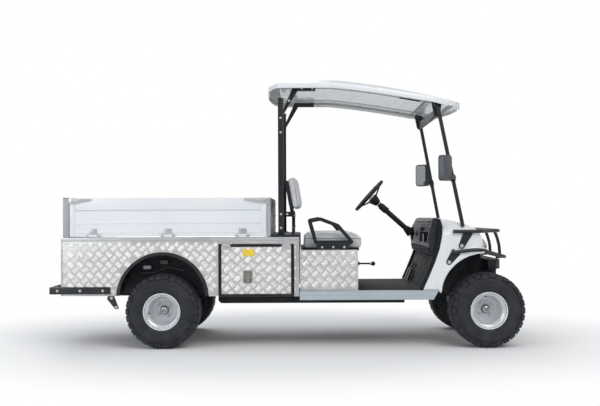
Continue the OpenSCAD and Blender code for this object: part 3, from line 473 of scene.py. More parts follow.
SILL_ALUMINIUM = finish(
    "anodised sill", (0.5, 0.57, 0.62), (0.42, 0.49, 0.54), 0.34, metallic=0.35, coat=0.15, dust=0.3,
    dust_height=0.5, lay=(110.0, (0.03, 1.0, 1.0), 0.1), bump=0.12)
ZINC = finish(
    "zinc bolts", (0.63, 0.63, 0.61), (0.45, 0.45, 0.44), 0.28, metallic=1.0, scale=40.0, dust=0.15,
    grain=(300.0, EVEN, 1.0), bump=0.1, depth=0.0002)
LATCH_METAL = finish(
    "latch metal", (0.33, 0.31, 0.28), (0.24, 0.22, 0.2), 0.38, metallic=0.8, scale=14.0, dust=0.2,
    lay=(160.0, (0.1, 1.0, 1.0), 0.2), bump=0.12)
BLACK_PLASTIC = finish(
    "grained black plastic", (0.01, 0.012, 0.017), (0.018, 0.02, 0.026), 0.46, specular=0.3, drift=0.7,
    scale=5.0, dust=0.22, dust_height=0.9, grain=(330.0, EVEN, 0.8), depth=0.0005)
DASH_PLASTIC = finish(
    "dashboard plastic", (0.012, 0.014, 0.019), (0.022, 0.024, 0.03), 0.42, specular=0.35, coat=0.05,
    drift=0.8, scale=8.0, dust=0.1, dust_height=0.8, grain=(300.0, (1.0, 1.0, 0.8), 0.9), depth=0.0005)
BLACK_STEEL = finish(
    "black powder coat", (0.01, 0.011, 0.015), (0.018, 0.019, 0.023), 0.32, specular=0.4, coat=0.15,
    scale=6.0, dust=0.12, grain=(420.0, EVEN, 1.3), bump=0.14, chips=(90.0, 0.4, (0.16, 0.16, 0.17)))
CHASSIS_BLACK = finish(
    "chassis black", (0.01, 0.011, 0.013), (0.018, 0.018, 0.019), 0.55, specular=0.25, drift=0.8, scale=7.0,
    dust=0.14, dust_height=0.6, grain=(210.0, EVEN, 1.1), bump=0.25, depth=0.0006,
    chips=(50.0, 0.5, (0.17, 0.12, 0.09)))
CAST_DARK = finish(
    "cast housing", (0.042, 0.044, 0.047), (0.07, 0.07, 0.072), 0.58, metallic=0.3, drift=0.7, scale=9.0,
    dust=0.15, dust_height=0.6, grain=(160.0, EVEN, 1.4), bump=0.4, depth=0.0009)
BATTERY_CASE = finish(
    "battery case", (0.035, 0.036, 0.04), (0.055, 0.055, 0.06), 0.55, dust=0.4, grain=(240.0, EVEN, 1.0),
    bump=0.25, depth=0.0005)
RUBBER_MAT = finish(
    "rubber mat", (0.012, 0.014, 0.018), (0.024, 0.026, 0.03), 0.66, specular=0.25, sheen=0.04, drift=0.8,
    scale=6.0, dust=0.15, dust_height=1.0, grain=(280.0, EVEN, 1.2), depth=0.0006)
RUBBER_SEAL = finish(
    "rubber seal", (0.009, 0.01, 0.013), (0.016, 0.017, 0.02), 0.6, specular=0.25, dust=0.2,
    grain=(350.0, EVEN, 1.0), bump=0.2, depth=0.0004)
TYRE_RUBBER = finish(
    "tyre rubber", (0.013, 0.015, 0.02), (0.022, 0.024, 0.029), 0.6, specular=0.35, sheen=0.05, drift=0.9,
    scale=12.0, dust=0.08, dust_height=0.62, grain=(190.0, EVEN, 1.5), depth=0.0008)
RIM_PAINT = finish(
    "rim silver", (0.74, 0.76, 0.79), (0.66, 0.68, 0.71), 0.33, metallic=0.25, coat=0.3, drift=0.5,
    scale=10.0, dust=0.08, dust_height=0.5, grain=(420.0, EVEN, 1.3), bump=0.12)
# A lighter, shinier copy of the rim silver: on the outer lip and on a ring at the dish's step it is painted
# highlight; the hub cap uses it too.
PAINTED_RIM_HIGHLIGHT_AND_CAP = finish(
    "painted rim highlight and cap", (0.86, 0.87, 0.88), (0.76, 0.77, 0.79), 0.22, metallic=0.6, drift=0.5, scale=16.0, dust=0.05,
    dust_height=0.5, lay=(150.0, EVEN, 0.03), bump=0.08, depth=0.0002)
SEAT_VINYL = finish(
    "grey vinyl", (0.56, 0.57, 0.58), (0.48, 0.49, 0.51), 0.44, sheen=0.08, scale=5.0, dust=0.05,
    smear=0.14, grain=(230.0, (1.0, 1.0, 1.3), 0.9), bump=0.35, depth=0.0007)
VINYL_PIPING = finish(
    "vinyl piping", (0.3, 0.31, 0.32), (0.23, 0.24, 0.25), 0.42, drift=0.5, scale=30.0,
    grain=(300.0, EVEN, 1.0), depth=0.0004)
THREAD = finish(
    "thread", (0.62, 0.62, 0.6), (0.5, 0.5, 0.48), 0.7, sheen=0.3, drift=0.4, scale=60.0,
    grain=(900.0, EVEN, 1.0), depth=0.0002)
MIRROR_GLASS = finish(
    "mirror glass", (0.78, 0.8, 0.82), (0.72, 0.75, 0.78), 0.05, metallic=1.0, drift=0.3, smear=0.05,
    bump=0.1, depth=0.0004)
MIRROR_SHELL = finish(
    "mirror shell", (0.075, 0.085, 0.1), (0.055, 0.06, 0.072), 0.33, coat=0.35, grain=(300.0, EVEN, 1.0),
    bump=0.15)
PLATE_YELLOW = finish(
    "yellow blank plate", (0.86, 0.62, 0.05), (0.78, 0.53, 0.04), 0.32, coat=0.4, drift=0.4, scale=12.0,
    dust=0.08, grain=(400.0, EVEN, 1.0), bump=0.06, depth=0.0002)
REFLECTOR = finish(
    "lamp reflector", (0.8, 0.81, 0.82), (0.68, 0.69, 0.7), 0.14, metallic=1.0, drift=0.3, smear=0.06,
    bump=0.1, depth=0.0004)
LAMP_RIM = finish(
    "lamp rim", (0.3, 0.31, 0.32), (0.22, 0.23, 0.24), 0.3, metallic=0.6, drift=0.4, dust=0.05,
    grain=(300.0, EVEN, 1.0), bump=0.1)
GREY_TRIM = finish(
    "grey trim", (0.16, 0.165, 0.17), (0.12, 0.125, 0.13), 0.42, drift=0.5, dust=0.1,
    grain=(320.0, EVEN, 1.0), bump=0.2, depth=0.0004)
RED_LENS = finish(
    "red lens", (0.5, 0.018, 0.014), (0.36, 0.012, 0.01), 0.16, coat=0.6, drift=0.4, scale=20.0, dust=0.08,
    grain=(220.0, (1.0, 1.0, 1.0), 0.2), depth=0.0008)


def clear_lens(name, tint, roughness):
    """Clear moulded plastic over a lamp."""
    material = finish(
        name, tint, tint, roughness, drift=0.0, smear=0.04, grain=(45.0, (1.0, 1.0, 0.2), 0.5), bump=0.15,
        depth=0.0008)
    shader = material.node_tree.nodes["Principled BSDF"]
    shader.inputs["Transmission Weight"].default_value = 0.85
    shader.inputs["IOR"].default_value = 1.46
    return material


LAMP_LENS = clear_lens("lamp lens", (0.9, 0.92, 0.93), 0.06)


# ---- Geometry node trees ----

class Tree:
    """A geometry node tree under construction, with named inputs in the order they are given."""

    def __init__(self, name, inputs):
        self.group = bpy.data.node_groups.new(name, "GeometryNodeTree")
        face = self.group.interface
        face.new_socket("Geometry", in_out="INPUT", socket_type="NodeSocketGeometry")
        self.keys = {}
        for label, kind in inputs:
            self.keys[label] = face.new_socket(label, in_out="INPUT", socket_type=kind).identifier
        face.new_socket("Geometry", in_out="OUTPUT", socket_type="NodeSocketGeometry")
        self.given = self.group.nodes.new("NodeGroupInput").outputs
        self.out = self.group.nodes.new("NodeGroupOutput").inputs

    def node(self, kind, settings=None, **values):
        """A node with its settings and inputs; an input's underscores stand for spaces."""
        node = self.group.nodes.new(kind)
        for label, value in (settings or {}).items():
            setattr(node, label, value)
        for label, value in values.items():
            key = int(label[1:]) if label[0] == "i" and label[1:].isdigit() else label.replace("_", " ")
            if hasattr(value, "is_output"):
                self.group.links.new(value, node.inputs[key])
            else:
                node.inputs[key].default_value = value
        return node.outputs

    def math(self, operation, a, b=0.0):
        return self.node("ShaderNodeMath", {"operation": operation}, i0=a, i1=b)[0]

    def finish(self, geometry):
        """Ends the tree in real geometry with its finish set."""
        real = self.node("GeometryNodeRealizeInstances", Geometry=geometry)["Geometry"]
        done = self.node("GeometryNodeSetMaterial", Geometry=real, Material=self.given["Finish"])
        self.group.links.new(done["Geometry"], self.out["Geometry"])
        return self

    def grow(self, name, base=None, **values):
        """The plain mesh that the tree makes with these values, as a new piece."""
        obj = link(name, base.data.copy() if base else bpy.data.meshes.new(name))
        modifier = obj.modifiers.new("shape", "NODES")
        modifier.node_group = self.group
        for label, value in values.items():
            modifier[self.keys[label.replace("_", " ")]] = value
        obj.update_tag()
        return settled(obj)


OBJECT, INT, MATERIAL = "NodeSocketObject", "NodeSocketInt", "NodeSocketMaterial"


def build_ring():
    """Copies of one shape round a circle about Z, each turned with the circle."""
    t = Tree(
        "ring of shapes", [("Shape", OBJECT), ("Count", INT), ("Radius", FLOAT), ("Turn", FLOAT),
        ("Finish", MATERIAL)])
    circle = t.node("GeometryNodeMeshCircle", Vertices=t.given["Count"], Radius=t.given["Radius"])
    index = t.node("GeometryNodeInputIndex")[0]
    step = t.math("DIVIDE", 2 * pi, t.given["Count"])
    angle = t.math("ADD", t.math("MULTIPLY", index, step), t.given["Turn"])
    turned = t.node(
        "GeometryNodeTransform", Geometry=circle["Mesh"],
        Rotation=t.node("ShaderNodeCombineXYZ", Z=t.given["Turn"])[0])
    shape = t.node("GeometryNodeObjectInfo", Object=t.given["Shape"])
    copies = t.node(
        "GeometryNodeInstanceOnPoints", Points=turned[0], Instance=shape["Geometry"],
        Rotation=t.node("ShaderNodeCombineXYZ", Z=angle)[0])
    return t.finish(copies[0])


def build_row():
    """Copies of one shape in a straight row."""
    t = Tree(
        "row of shapes", [("Shape", OBJECT), ("Count", INT), ("Start", VECTOR), ("Step", VECTOR),
        ("Finish", MATERIAL)])
    line = t.node("GeometryNodeMeshLine", Count=t.given["Count"], Start_Location=t.given["Start"],
                  Offset=t.given["Step"])
    shape = t.node("GeometryNodeObjectInfo", Object=t.given["Shape"])
    copies = t.node("GeometryNodeInstanceOnPoints", Points=line[0], Instance=shape["Geometry"])
    return t.finish(copies[0])


def build_studs():
    """Copies of one shape on loose points, each standing along its point's 'facing' vector."""
    t = Tree("studs on points", [("Shape", OBJECT), ("Size", FLOAT), ("Finish", MATERIAL)])
    facing = t.node("GeometryNodeInputNamedAttribute", {"data_type": "FLOAT_VECTOR"}, Name="facing")
    turn = t.node("FunctionNodeAlignRotationToVector", {"axis": "Z"}, Vector=facing[0])
    shape = t.node("GeometryNodeObjectInfo", Object=t.given["Shape"])
    copies = t.node(
        "GeometryNodeInstanceOnPoints", Points=t.given["Geometry"], Instance=shape["Geometry"],
        Rotation=turn[0], Scale=t.node("ShaderNodeCombineXYZ", X=t.given["Size"], Y=t.given["Size"],
        Z=t.given["Size"])[0])
    return t.finish(copies[0])


def build_tread_plate():
    """Raised bars of tread plate in a basket weave over an upright sheet that faces along Y.

    The grid is laid over the sheet's box, and a bar stays only where both its ends meet the sheet.
    """
    t = Tree("tread plate bars", [
        ("Bar", OBJECT), ("Low", VECTOR), ("High", VECTOR), ("Cell length", FLOAT),
        ("Cell height", FLOAT), ("Gap", FLOAT), ("Bars", INT), ("Half bar", FLOAT),
        ("Facing", FLOAT), ("Slant", FLOAT), ("Finish", MATERIAL)])
    g = t.given
    low = t.node("ShaderNodeSeparateXYZ", Vector=g["Low"])
    high = t.node("ShaderNodeSeparateXYZ", Vector=g["High"])

    def cells(a, b, size):
        return t.math("ADD", t.math("CEIL", t.math("DIVIDE", t.math("SUBTRACT", b, a), size)), 2.0)

    across = cells(low["X"], high["X"], t.math("MULTIPLY", g["Cell length"], 0.5))
    upward = cells(low["Z"], high["Z"], t.math("MULTIPLY", g["Cell height"], 0.5))
    total = t.math("MULTIPLY", t.math("MULTIPLY", across, upward), g["Bars"])
    line = t.node("GeometryNodeMeshLine", Count=total)
    index = t.node("GeometryNodeInputIndex")[0]
    bar = t.math("MODULO", index, g["Bars"])
    cell = t.math("FLOOR", t.math("DIVIDE", t.math("ADD", index, 0.01), g["Bars"]))
    column = t.math("MODULO", t.math("ADD", cell, 0.01), across)
    column = t.math("FLOOR", column)
    row = t.math("FLOOR", t.math("DIVIDE", t.math("ADD", cell, 0.01), across))
    odd = t.math("MODULO", t.math("ADD", t.math("ADD", column, row), 0.1), 2.0)
    odd_row = t.math("FLOOR", t.math("MODULO", t.math("ADD", row, 0.1), 2.0))
    sign = t.math("SUBTRACT", 1.0, t.math("MULTIPLY", odd_row, 2.0))
    angle = t.math("MULTIPLY", sign, g["Slant"])
    place = t.math("SUBTRACT", bar, t.math("MULTIPLY", t.math("SUBTRACT", g["Bars"], 1.0), 0.5))
    shift = t.math("MULTIPLY", place, g["Gap"])
    run, rise = t.math("COSINE", angle), t.math("SINE", angle)
    x = t.math("ADD", low["X"], t.math("MULTIPLY", column, t.math("MULTIPLY", g["Cell length"], 0.5)))
    z = t.math("ADD", low["Z"], t.math("MULTIPLY", row, t.math("MULTIPLY", g["Cell height"], 0.5)))
    x = t.math("SUBTRACT", x, t.math("MULTIPLY", rise, shift))
    z = t.math("ADD", z, t.math("MULTIPLY", run, shift))
    face = t.math("ADD", t.math("MULTIPLY", high["Y"], t.math("GREATER_THAN", g["Facing"], 0.0)),
                  t.math("MULTIPLY", low["Y"], t.math("LESS_THAN", g["Facing"], 0.0)))
    centre = t.node("ShaderNodeCombineXYZ", X=x, Y=face, Z=z)[0]
    points = t.node("GeometryNodeSetPosition", Geometry=line[0], Position=centre)[0]
    keep = t.math("LESS_THAN", odd, 1.0)
    for end in (-1.15, 1.15):
        reach = t.math("MULTIPLY", g["Half bar"], end)
        away = t.node("ShaderNodeCombineXYZ", X=t.math("MULTIPLY", run, reach),
                      Y=t.math("MULTIPLY", g["Facing"], 0.001), Z=t.math("MULTIPLY", rise, reach))[0]
        source = t.node("ShaderNodeVectorMath", {"operation": "ADD"}, i0=centre, i1=away)[0]
        aim = t.node("ShaderNodeCombineXYZ", Y=t.math("MULTIPLY", g["Facing"], -1.0))[0]
        hit = t.node("GeometryNodeRaycast", Target_Geometry=g["Geometry"], Source_Position=source,
                     Ray_Direction=aim, Ray_Length=0.003)["Is Hit"]
        keep = t.node("FunctionNodeBooleanMath", {"operation": "AND"}, i0=keep, i1=hit)[0]
    shape = t.node("GeometryNodeObjectInfo", Object=g["Bar"])
    turn = t.node("ShaderNodeCombineXYZ", Y=t.math("MULTIPLY", angle, -1.0))[0]
    copies = t.node(
        "GeometryNodeInstanceOnPoints", Points=points, Selection=keep, Instance=shape["Geometry"],
        Rotation=turn)
    return t.finish(copies[0])


RING, ROW, STUDS, BARS = build_ring(), build_row(), build_studs(), build_tread_plate()


def studs(name, places, shape, finish, size=1.0):
    """One piece of identical studs; each place is a point and the way it faces."""
    mesh = bpy.data.meshes.new(name + " points")
    mesh.from_pydata([tuple(p) for p, _ in places], [], [])
    facing = mesh.attributes.new("facing", "FLOAT_VECTOR", "POINT")
    facing.data.foreach_set("vector", [c for _, way in places for c in way])
    base = bpy.data.objects.new(name + " points", mesh)
    piece = STUDS.grow(name, base, Shape=shape, Size=size, Finish=finish)
    bpy.data.objects.remove(base)
    return smooth(piece, 40)


# Shapes that are copied many times; they are removed before the scene is finished
HEX_BOLT = lathe(
    "hex bolt shape", [(0.0001, 0.0052), (0.0046, 0.0052), (0.0062, 0.0042), (0.0064, 0.0016),
    (0.0092, 0.0014), (0.0095, -0.001), (0.0001, -0.001)], ZINC, 12)
RIVET = lathe(
    "rivet shape", [(0.0001, 0.0024), (0.0022, 0.0021), (0.0038, 0.001), (0.0042, -0.001),
    (0.0001, -0.001)], ZINC, 12)
SHAPES = [HEX_BOLT, RIVET]


def rib_row(name, rib, count, start, step, finish):
    """A row of identical ribs as one piece."""
    SHAPES.append(rib)
    return ROW.grow(name, Shape=rib, Count=count, Start=start, Step=step, Finish=finish)


def bar_shape(name, length, width, height, facing):
    """One raised lozenge of tread plate along X, standing out along Y."""
    a, b, h = length / 2, width / 2, height * facing
    base = [
        (-a, 0, 0), (-a * 0.55, 0, b), (a * 0.55, 0, b), (a, 0, 0), (a * 0.55, 0, -b), (-a * 0.55, 0, -b)]
    top = [(-a * 0.72, h, 0), (-a * 0.45, h, b * 0.3), (a * 0.45, h, b * 0.3), (a * 0.72, h, 0),
           (a * 0.45, h, -b * 0.3), (-a * 0.45, h, -b * 0.3)]
    points = base + top
    faces = [(5, 4, 3, 2, 1, 0), tuple(range(6, 12))]
    faces += [(i, (i + 1) % 6, 6 + (i + 1) % 6, 6 + i) for i in range(6)]
    # The bar takes the lighter finish that paints its highlight.
    return mesh_piece(name, points, faces, PLATE_BARS_PAINTED_HIGHLIGHT, 50)


# ---- Studio ----

def set_camera():
    """A standing viewer about six and a half metres from the cart's right side."""
    data = bpy.data.cameras.new("camera")
    data.lens, data.sensor_width = 51.67, 36.0
    camera = bpy.data.objects.new("camera", data)
    camera.location = (0.127, -7.05, 0.994)
    camera.rotation_euler = [radians(a) for a in (90.826, 0.239, 0.265)]
    SCENE.collection.objects.link(camera)
    SCENE.camera = camera


def set_backdrop():
    """A white floor that curves up into the wall, with the shadow kept close round the cart."""
    material = bpy.data.materials.new("studio paper")
    material.use_nodes = True
    nodes, links = material.node_tree.nodes, material.node_tree.links
    shader = nodes["Principled BSDF"]
    shader.inputs["Base Color"].default_value = (0.86, 0.87, 0.88, 1)
    shader.inputs["Roughness"].default_value = 0.85
    shader.inputs["Specular IOR Level"].default_value = 0.1
    away = nodes.new("ShaderNodeVectorMath")
    away.operation = "LENGTH"
    links.new(object_place(nodes, links, (0.72, 1.0, 1.0)), away.inputs[0])
    edge = ramp(nodes, links, away.outputs["Value"], 1.3, 2.6)
    seen = nodes.new("ShaderNodeLightPath").outputs["Is Camera Ray"]
    white = nodes.new("ShaderNodeEmission")
    white.inputs["Strength"].default_value = 1.0
    either = nodes.new("ShaderNodeMixShader")
    links.new(math_node(nodes, links, "MULTIPLY", edge, seen), either.inputs[0])
    links.new(shader.outputs[0], either.inputs[1])
    links.new(white.outputs[0], either.inputs[2])
    links.new(either.outputs[0], nodes["Material Output"].inputs["Surface"])
    outline = [(-14.0, 0.0), (7.0, 0.0)]
    outline += [(7.0 + 4.0 * sin(a), 4.0 - 4.0 * cos(a)) for a in (radians(7.5 * i) for i in range(1, 13))]
    outline.append((11.0, 12.0))
    mesh = bpy.data.meshes.new("studio floor")
    points = [(x, y, z) for x in (-30.0, 30.0) for y, z in outline]
    n = len(outline)
    mesh.from_pydata(points, [], [(i, i + 1, n + i + 1, n + i) for i in range(n - 1)])
    mesh.materials.append(material)
    mesh.shade_smooth()
    link("studio floor", mesh)


def area_light(name, at, aim, size, power, colour=(1, 1, 1)):
    data = bpy.data.lights.new(name, "AREA")
    data.shape, data.size, data.size_y, data.energy, data.color = "RECTANGLE", *size, power, colour
    light = bpy.data.objects.new(name, data)
    light.location = at
    light.rotation_euler = (Vector(aim) - Vector(at)).to_track_quat("-Z", "Y").to_euler()
    SCENE.collection.objects.link(light)


def set_lights():
    """Soft daylight: a bright sky all round, a broad key from the front right and a low fill."""
    world = bpy.data.worlds.new("sky")
    SCENE.world = world
    world.use_nodes = True
    nodes, links = world.node_tree.nodes, world.node_tree.links
    sky = nodes["Background"]
    place = nodes.new("ShaderNodeTexCoord").outputs["Generated"]
    parts = nodes.new("ShaderNodeSeparateXYZ")
    links.new(place, parts.inputs[0])
    shade = nodes.new("ShaderNodeValToRGB")
    links.new(parts.outputs[2], shade.inputs["Fac"])
    for stop, position, grey in zip((0, 1), (0.0, 0.55), (0.42, 0.95)):
        shade.color_ramp.elements[stop].position = position
        shade.color_ramp.elements[stop].color = (grey, grey * 1.01, grey * 1.03, 1)
    links.new(shade.outputs["Color"], sky.inputs["Color"])
    sky.inputs["Strength"].default_value = 0.72
    area_light("key", (3.5, -6.0, 6.5), (0, 0, 0.8), (6.0, 5.0), 250, (1.0, 0.99, 0.97))
    area_light("fill", (-6.0, -5.0, 3.0), (-0.3, 0, 0.8), (5.0, 4.0), 130, (0.95, 0.98, 1.0))
    area_light("back", (-2.0, 6.0, 5.0), (0, 0, 1.0), (5.0, 3.0), 170)


SCENE.view_settings.view_transform = "Standard"
set_camera()
set_backdrop()
set_lights()


# ---- Wheels ----

TYRE_LOW, TYRE_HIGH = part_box("tyre_front_right")
TYRE_R = (TYRE_HIGH.z - TYRE_LOW.z) / 2
HALF_TREAD = (TYRE_HIGH.y - TYRE_LOW.y) / 2
TREAD_PITCH = 30


def block_round(name, section, half, finish, taper=0.82, slant=0.0):
    """A tread block: a (radius, height) section given width along the tread, narrower at the top."""
    top = max(r for r, _ in section)
    points = []
    for side in (-1, 1):
        for r, h in section:
            reach = half * (taper + (1 - taper) * min(1, (top - r) / 0.03))
            points.append((r, side * reach + slant * h, h))
    n = len(section)
    faces = [tuple(range(n)), tuple(range(2 * n - 1, n - 1, -1))]
    faces += [(i, (i + 1) % n, n + (i + 1) % n, n + i) for i in range(n)]
    return bevelled(mesh_piece(name, points, faces, finish, 40), 0.0016, 1, 40)


def carcass_profile():
    """Half-section of the tyre from bead to bead: bulged sidewalls with two fine rings each."""
    w, r = HALF_TREAD, TYRE_R
    side = [
        (0.1412, w - 0.019), (0.15, w - 0.01), (0.158, w - 0.0055), (0.161, w - 0.0025), (0.164, w - 0.005),
        (0.18, w - 0.0015), (0.2, w - 0.001), (0.214, w - 0.0035), (0.217, w - 0.002), (0.22, w - 0.0052),
        (0.232, w - 0.012), (0.245, w - 0.023), (0.256, w - 0.036), (r - 0.01, w - 0.053),
        (r - 0.0065, w - 0.08)]
    crown = [(r - 0.0055, 0.02)]
    outer = side + crown + [(a, -h) for a, h in reversed(crown + side)]
    return outer + [(0.13, -w + 0.022), (0.13, w - 0.022)]


def shoulder_section(long):
    """Section of a shoulder lug, carried down the sidewall on every other lug."""
    w, r = HALF_TREAD, TYRE_R
    foot = [(0.238, w - 0.0125), (0.235, w - 0.02)] if long else [(0.246, w - 0.0185), (0.243, w - 0.026)]
    return [(r - 0.0013, 0.058), (r - 0.0019, 0.08), (r - 0.005, 0.097), (r - 0.0165, 0.1115),
            (r - 0.028, 0.1185)] + foot + [(0.25, w - 0.034), (0.262, 0.084), (0.264, 0.058)]


def tyre(name, centre, side):
    """A tyre with its shoulder lugs and two staggered rows of centre blocks."""
    parts = [lathe("carcass", carcass_profile(), TYRE_RUBBER, 96, 30)]
    lugs = [block_round("lug", shoulder_section(i == 0), 0.0262 - 0.001 * i, TYRE_RUBBER) for i in (0, 1)]
    centre_block = block_round("centre block", [
        (TYRE_R - 0.0022, 0.005), (TYRE_R - 0.0022, 0.047), (0.264, 0.049), (0.264, 0.003)],
        0.024, TYRE_RUBBER, 0.9, 0.22)
    pitch = 2 * pi / TREAD_PITCH
    for up in (1, -1):
        for i, lug in enumerate(lugs):
            ring = RING.grow("lugs", Shape=lug, Count=TREAD_PITCH // 2, Radius=0.0,
                             Turn=pitch * (i + (0.5 if up < 0 else 0)), Finish=TYRE_RUBBER)
            if up < 0:
                ring = placed(ring, size=(1, 1, -1))
            parts.append(ring)
        blocks = RING.grow(
            "centre blocks", Shape=centre_block, Count=TREAD_PITCH, Radius=0.0,
            Turn=pitch * (0.5 if up > 0 else 0.0), Finish=TYRE_RUBBER)
        parts.append(placed(blocks, size=(1, 1, up)) if up < 0 else blocks)
    for shape in lugs + [centre_block]:
        bpy.data.objects.remove(shape)
    piece = turned_out(merged(name, parts))
    return placed(smooth(piece, 34), centre, (0, side, 0))


def turned_out(piece):
    """The piece with its faces pointing outwards."""
    bm = bmesh.new()
    bm.from_mesh(piece.data)
    bmesh.ops.recalc_face_normals(bm, faces=bm.faces)
    bm.to_mesh(piece.data)
    bm.free()
    return piece


# Steel wheel seen from outside: (radius, height) from the outer lip down the dish to the disc
RIM_OUTSIDE = [
    (0.1404, 0.113), (0.1407, 0.1215), (0.1385, 0.1248), (0.1345, 0.1246), (0.1315, 0.1215),
    (0.13, 0.113), (0.128, 0.106), (0.124, 0.103), (0.1205, 0.0985), (0.119, 0.09),
    (0.1183, 0.062), (0.1165, 0.057), (0.1115, 0.0535), (0.1085, 0.048), (0.1078, 0.01),
    (0.107, -0.018), (0.103, -0.029), (0.096, -0.0345), (0.09, -0.032), (0.0855, -0.03),
    (0.072, -0.0315), (0.064, -0.029), (0.056, -0.025), (0.04, -0.024), (0.0355, -0.024)]
RIM_INSIDE = [
    (0.0355, -0.029), (0.06, -0.03), (0.086, -0.0355), (0.0985, -0.04), (0.106, -0.036), (0.111, -0.022),
    (0.112, 0.046), (0.122, 0.062), (0.1225, 0.09), (0.129, 0.101), (0.129, 0.108)]
RIM_BACK = [
    (0.109, -0.03), (0.118, -0.04), (0.124, -0.06), (0.1285, -0.09), (0.129, -0.108),
    (0.137, -0.112), (0.14, -0.112), (0.14, -0.108), (0.13, -0.106), (0.1255, -0.09),
    (0.1215, -0.06), (0.115, -0.039), (0.106, -0.027)]


def rim(name, centre, side, spin):
    """A stepped deep-dish steel wheel with its hub, cap, four nuts and valve."""
    # The outer lip is given the lighter finish, a painted highlight.
    parts = [lathe("wheel dish", RIM_OUTSIDE[5:] + RIM_INSIDE, RIM_PAINT, 72, 28),
             lathe("wheel lip", RIM_OUTSIDE[:7] + [(0.129, 0.108)], PAINTED_RIM_HIGHLIGHT_AND_CAP, 72, 28),
             lathe("wheel back", RIM_BACK, RIM_PAINT, 72, 28)]
    # A thin ring of the lighter finish on the dish's step: a painted highlight.
    parts.append(
        lathe("bright ring", [(0.1205, 0.096), (0.1175, 0.1), (0.1125, 0.0965), (0.1118, 0.0905),
        (0.1195, 0.089)], PAINTED_RIM_HIGHLIGHT_AND_CAP, 72, 28))
    parts.append(
        lathe("hub flange", [(0.033, -0.023), (0.0345, -0.012), (0.031, -0.009), (0.03, 0.004),
        (0.0255, 0.007), (0.0001, 0.007), (0.0001, -0.03), (0.036, -0.03), (0.0372, -0.0245)], LAMP_RIM, 40,
        28))
    parts.append(
        lathe("hub cap", [(0.0001, 0.0075), (0.0215, 0.0075), (0.0225, 0.011), (0.0205, 0.02),
        (0.012, 0.0245), (0.0001, 0.0255)], PAINTED_RIM_HIGHLIGHT_AND_CAP, 32, 28))
    nut = lathe(
        "nut", [(0.0001, -0.012), (0.0055, -0.012), (0.0062, -0.0135), (0.0088, -0.014), (0.0092, -0.0245),
        (0.0125, -0.026), (0.0001, -0.0262)], ZINC, 6, 40)
    hollow = lathe(
        "nut seat", [(0.0185, -0.0238), (0.0165, -0.0222), (0.014, -0.0222), (0.0125, -0.0248),
        (0.0185, -0.0255)], RIM_PAINT, 20, 30)
    for shape, paint in ((nut, ZINC), (hollow, RIM_PAINT)):
        shape.data.transform(Matrix.Translation((0.0508, 0, 0)))
        parts.append(RING.grow("nuts", Shape=shape, Count=4, Radius=0.0, Turn=spin, Finish=paint))
        bpy.data.objects.remove(shape)
    valve = tube(
        "valve", [(0.104, 0, 0.056), (0.106, 0, 0.076), (0.104, 0, 0.09)], 0.0048, RUBBER_SEAL, 0.01, 10)
    valve.data.transform(Matrix.Rotation(spin + 1.1, 4, "Z"))
    parts.append(valve)
    piece = merged(name, parts)
    return placed(piece, centre, (0, side, 0))


for end in ("front", "rear"):
    for label, side in SIDES:
        low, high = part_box(f"tyre_{end}_{label}")
        centre = (low + high) / 2
        node = f"{end}_{label}"
        body = f"wheel_{node}"
        fit(tyre(f"tread_{node}", centre, side), body, "tyre_rubber", f"tyre_{node}")
        fit(rim(f"steel_wheel_{node}", centre, side, {"front": 0.62, "rear": 2.2}[end]), body,
            "rim_silver", f"rim_{node}")


# ---- Shell: roof, cowl, lamps, guard and arches ----

FRONT_X = (TYRE_LOW.x + TYRE_HIGH.x) / 2


def softened(name, node, finish, width=0.002, angle=35, segments=2):
    """A node's own shape with its flat faces joined up and its sharp edges rounded off."""
    obj = link(name, NODES[node].data.copy())
    bm = bmesh.new()
    bm.from_mesh(obj.data)
    bmesh.ops.remove_doubles(bm, verts=bm.verts, dist=1e-5)
    bmesh.ops.dissolve_limit(bm, angle_limit=radians(0.8), verts=bm.verts, edges=bm.edges)
    bm.to_mesh(obj.data)
    bm.free()
    obj.data.materials.clear()
    obj.data.materials.append(finish)
    return bevelled(obj, width, segments, angle)


def swept(name, sections, finish, angle=32):
    """A closed shell through sections of equal point counts, capped at both ends."""
    n = len(sections[0])
    points = [p for section in sections for p in section]
    faces = [tuple(range(n)), tuple(range((len(sections) - 1) * n, len(sections) * n))]
    for i in range(len(sections) - 1):
        faces += [
            (i * n + k, (i + 1) * n + k, (i + 1) * n + (k + 1) % n, i * n + (k + 1) % n) for k in range(n)]
    return mesh_piece(name, points, faces, finish, angle)


ROOF_X0, ROOF_X1 = FRONT_X - 1.661, FRONT_X - 0.113
ROOF_BEND, ROOF_LOW = FRONT_X - 1.17, FRONT_X - 0.305
ROOF_Z, ROOF_HALF, ROOF_LIP, ROOF_CROWN = 1.955, 0.587, 0.046, 0.07


def roof_edge(x):
    if x < ROOF_BEND:
        return ROOF_Z
    fall = 0.127 * min(1.0, (x - ROOF_BEND) / (ROOF_LOW - ROOF_BEND)) ** 1.25
    return ROOF_Z - fall + (0.02 * ((x - ROOF_LOW) / (ROOF_X1 - ROOF_LOW)) ** 2 if x > ROOF_LOW else 0)


def roof_rise(x):
    t = (x - ROOF_X0) / (ROOF_X1 - ROOF_X0)
    return ROOF_CROWN * sin(pi * min(0.5, 0.1 + 1.5 * t)) ** 0.8 * (1 - max(0.0, (t - 0.55) / 0.45) ** 2.2)


def roof_half(x):
    front, back = max(0.0, (x - ROOF_X1) / 0.33 + 1), max(0.0, (ROOF_X0 - x) / 0.11 + 1)
    return ROOF_HALF * sqrt(max(0.004, 1 - front ** 2)) * sqrt(max(0.01, 1 - back ** 2))


def roof_lip(x):
    return ROOF_LIP * (1 - 0.6 * max(0.0, (x - ROOF_LOW) / (ROOF_X1 - ROOF_LOW)) ** 2)


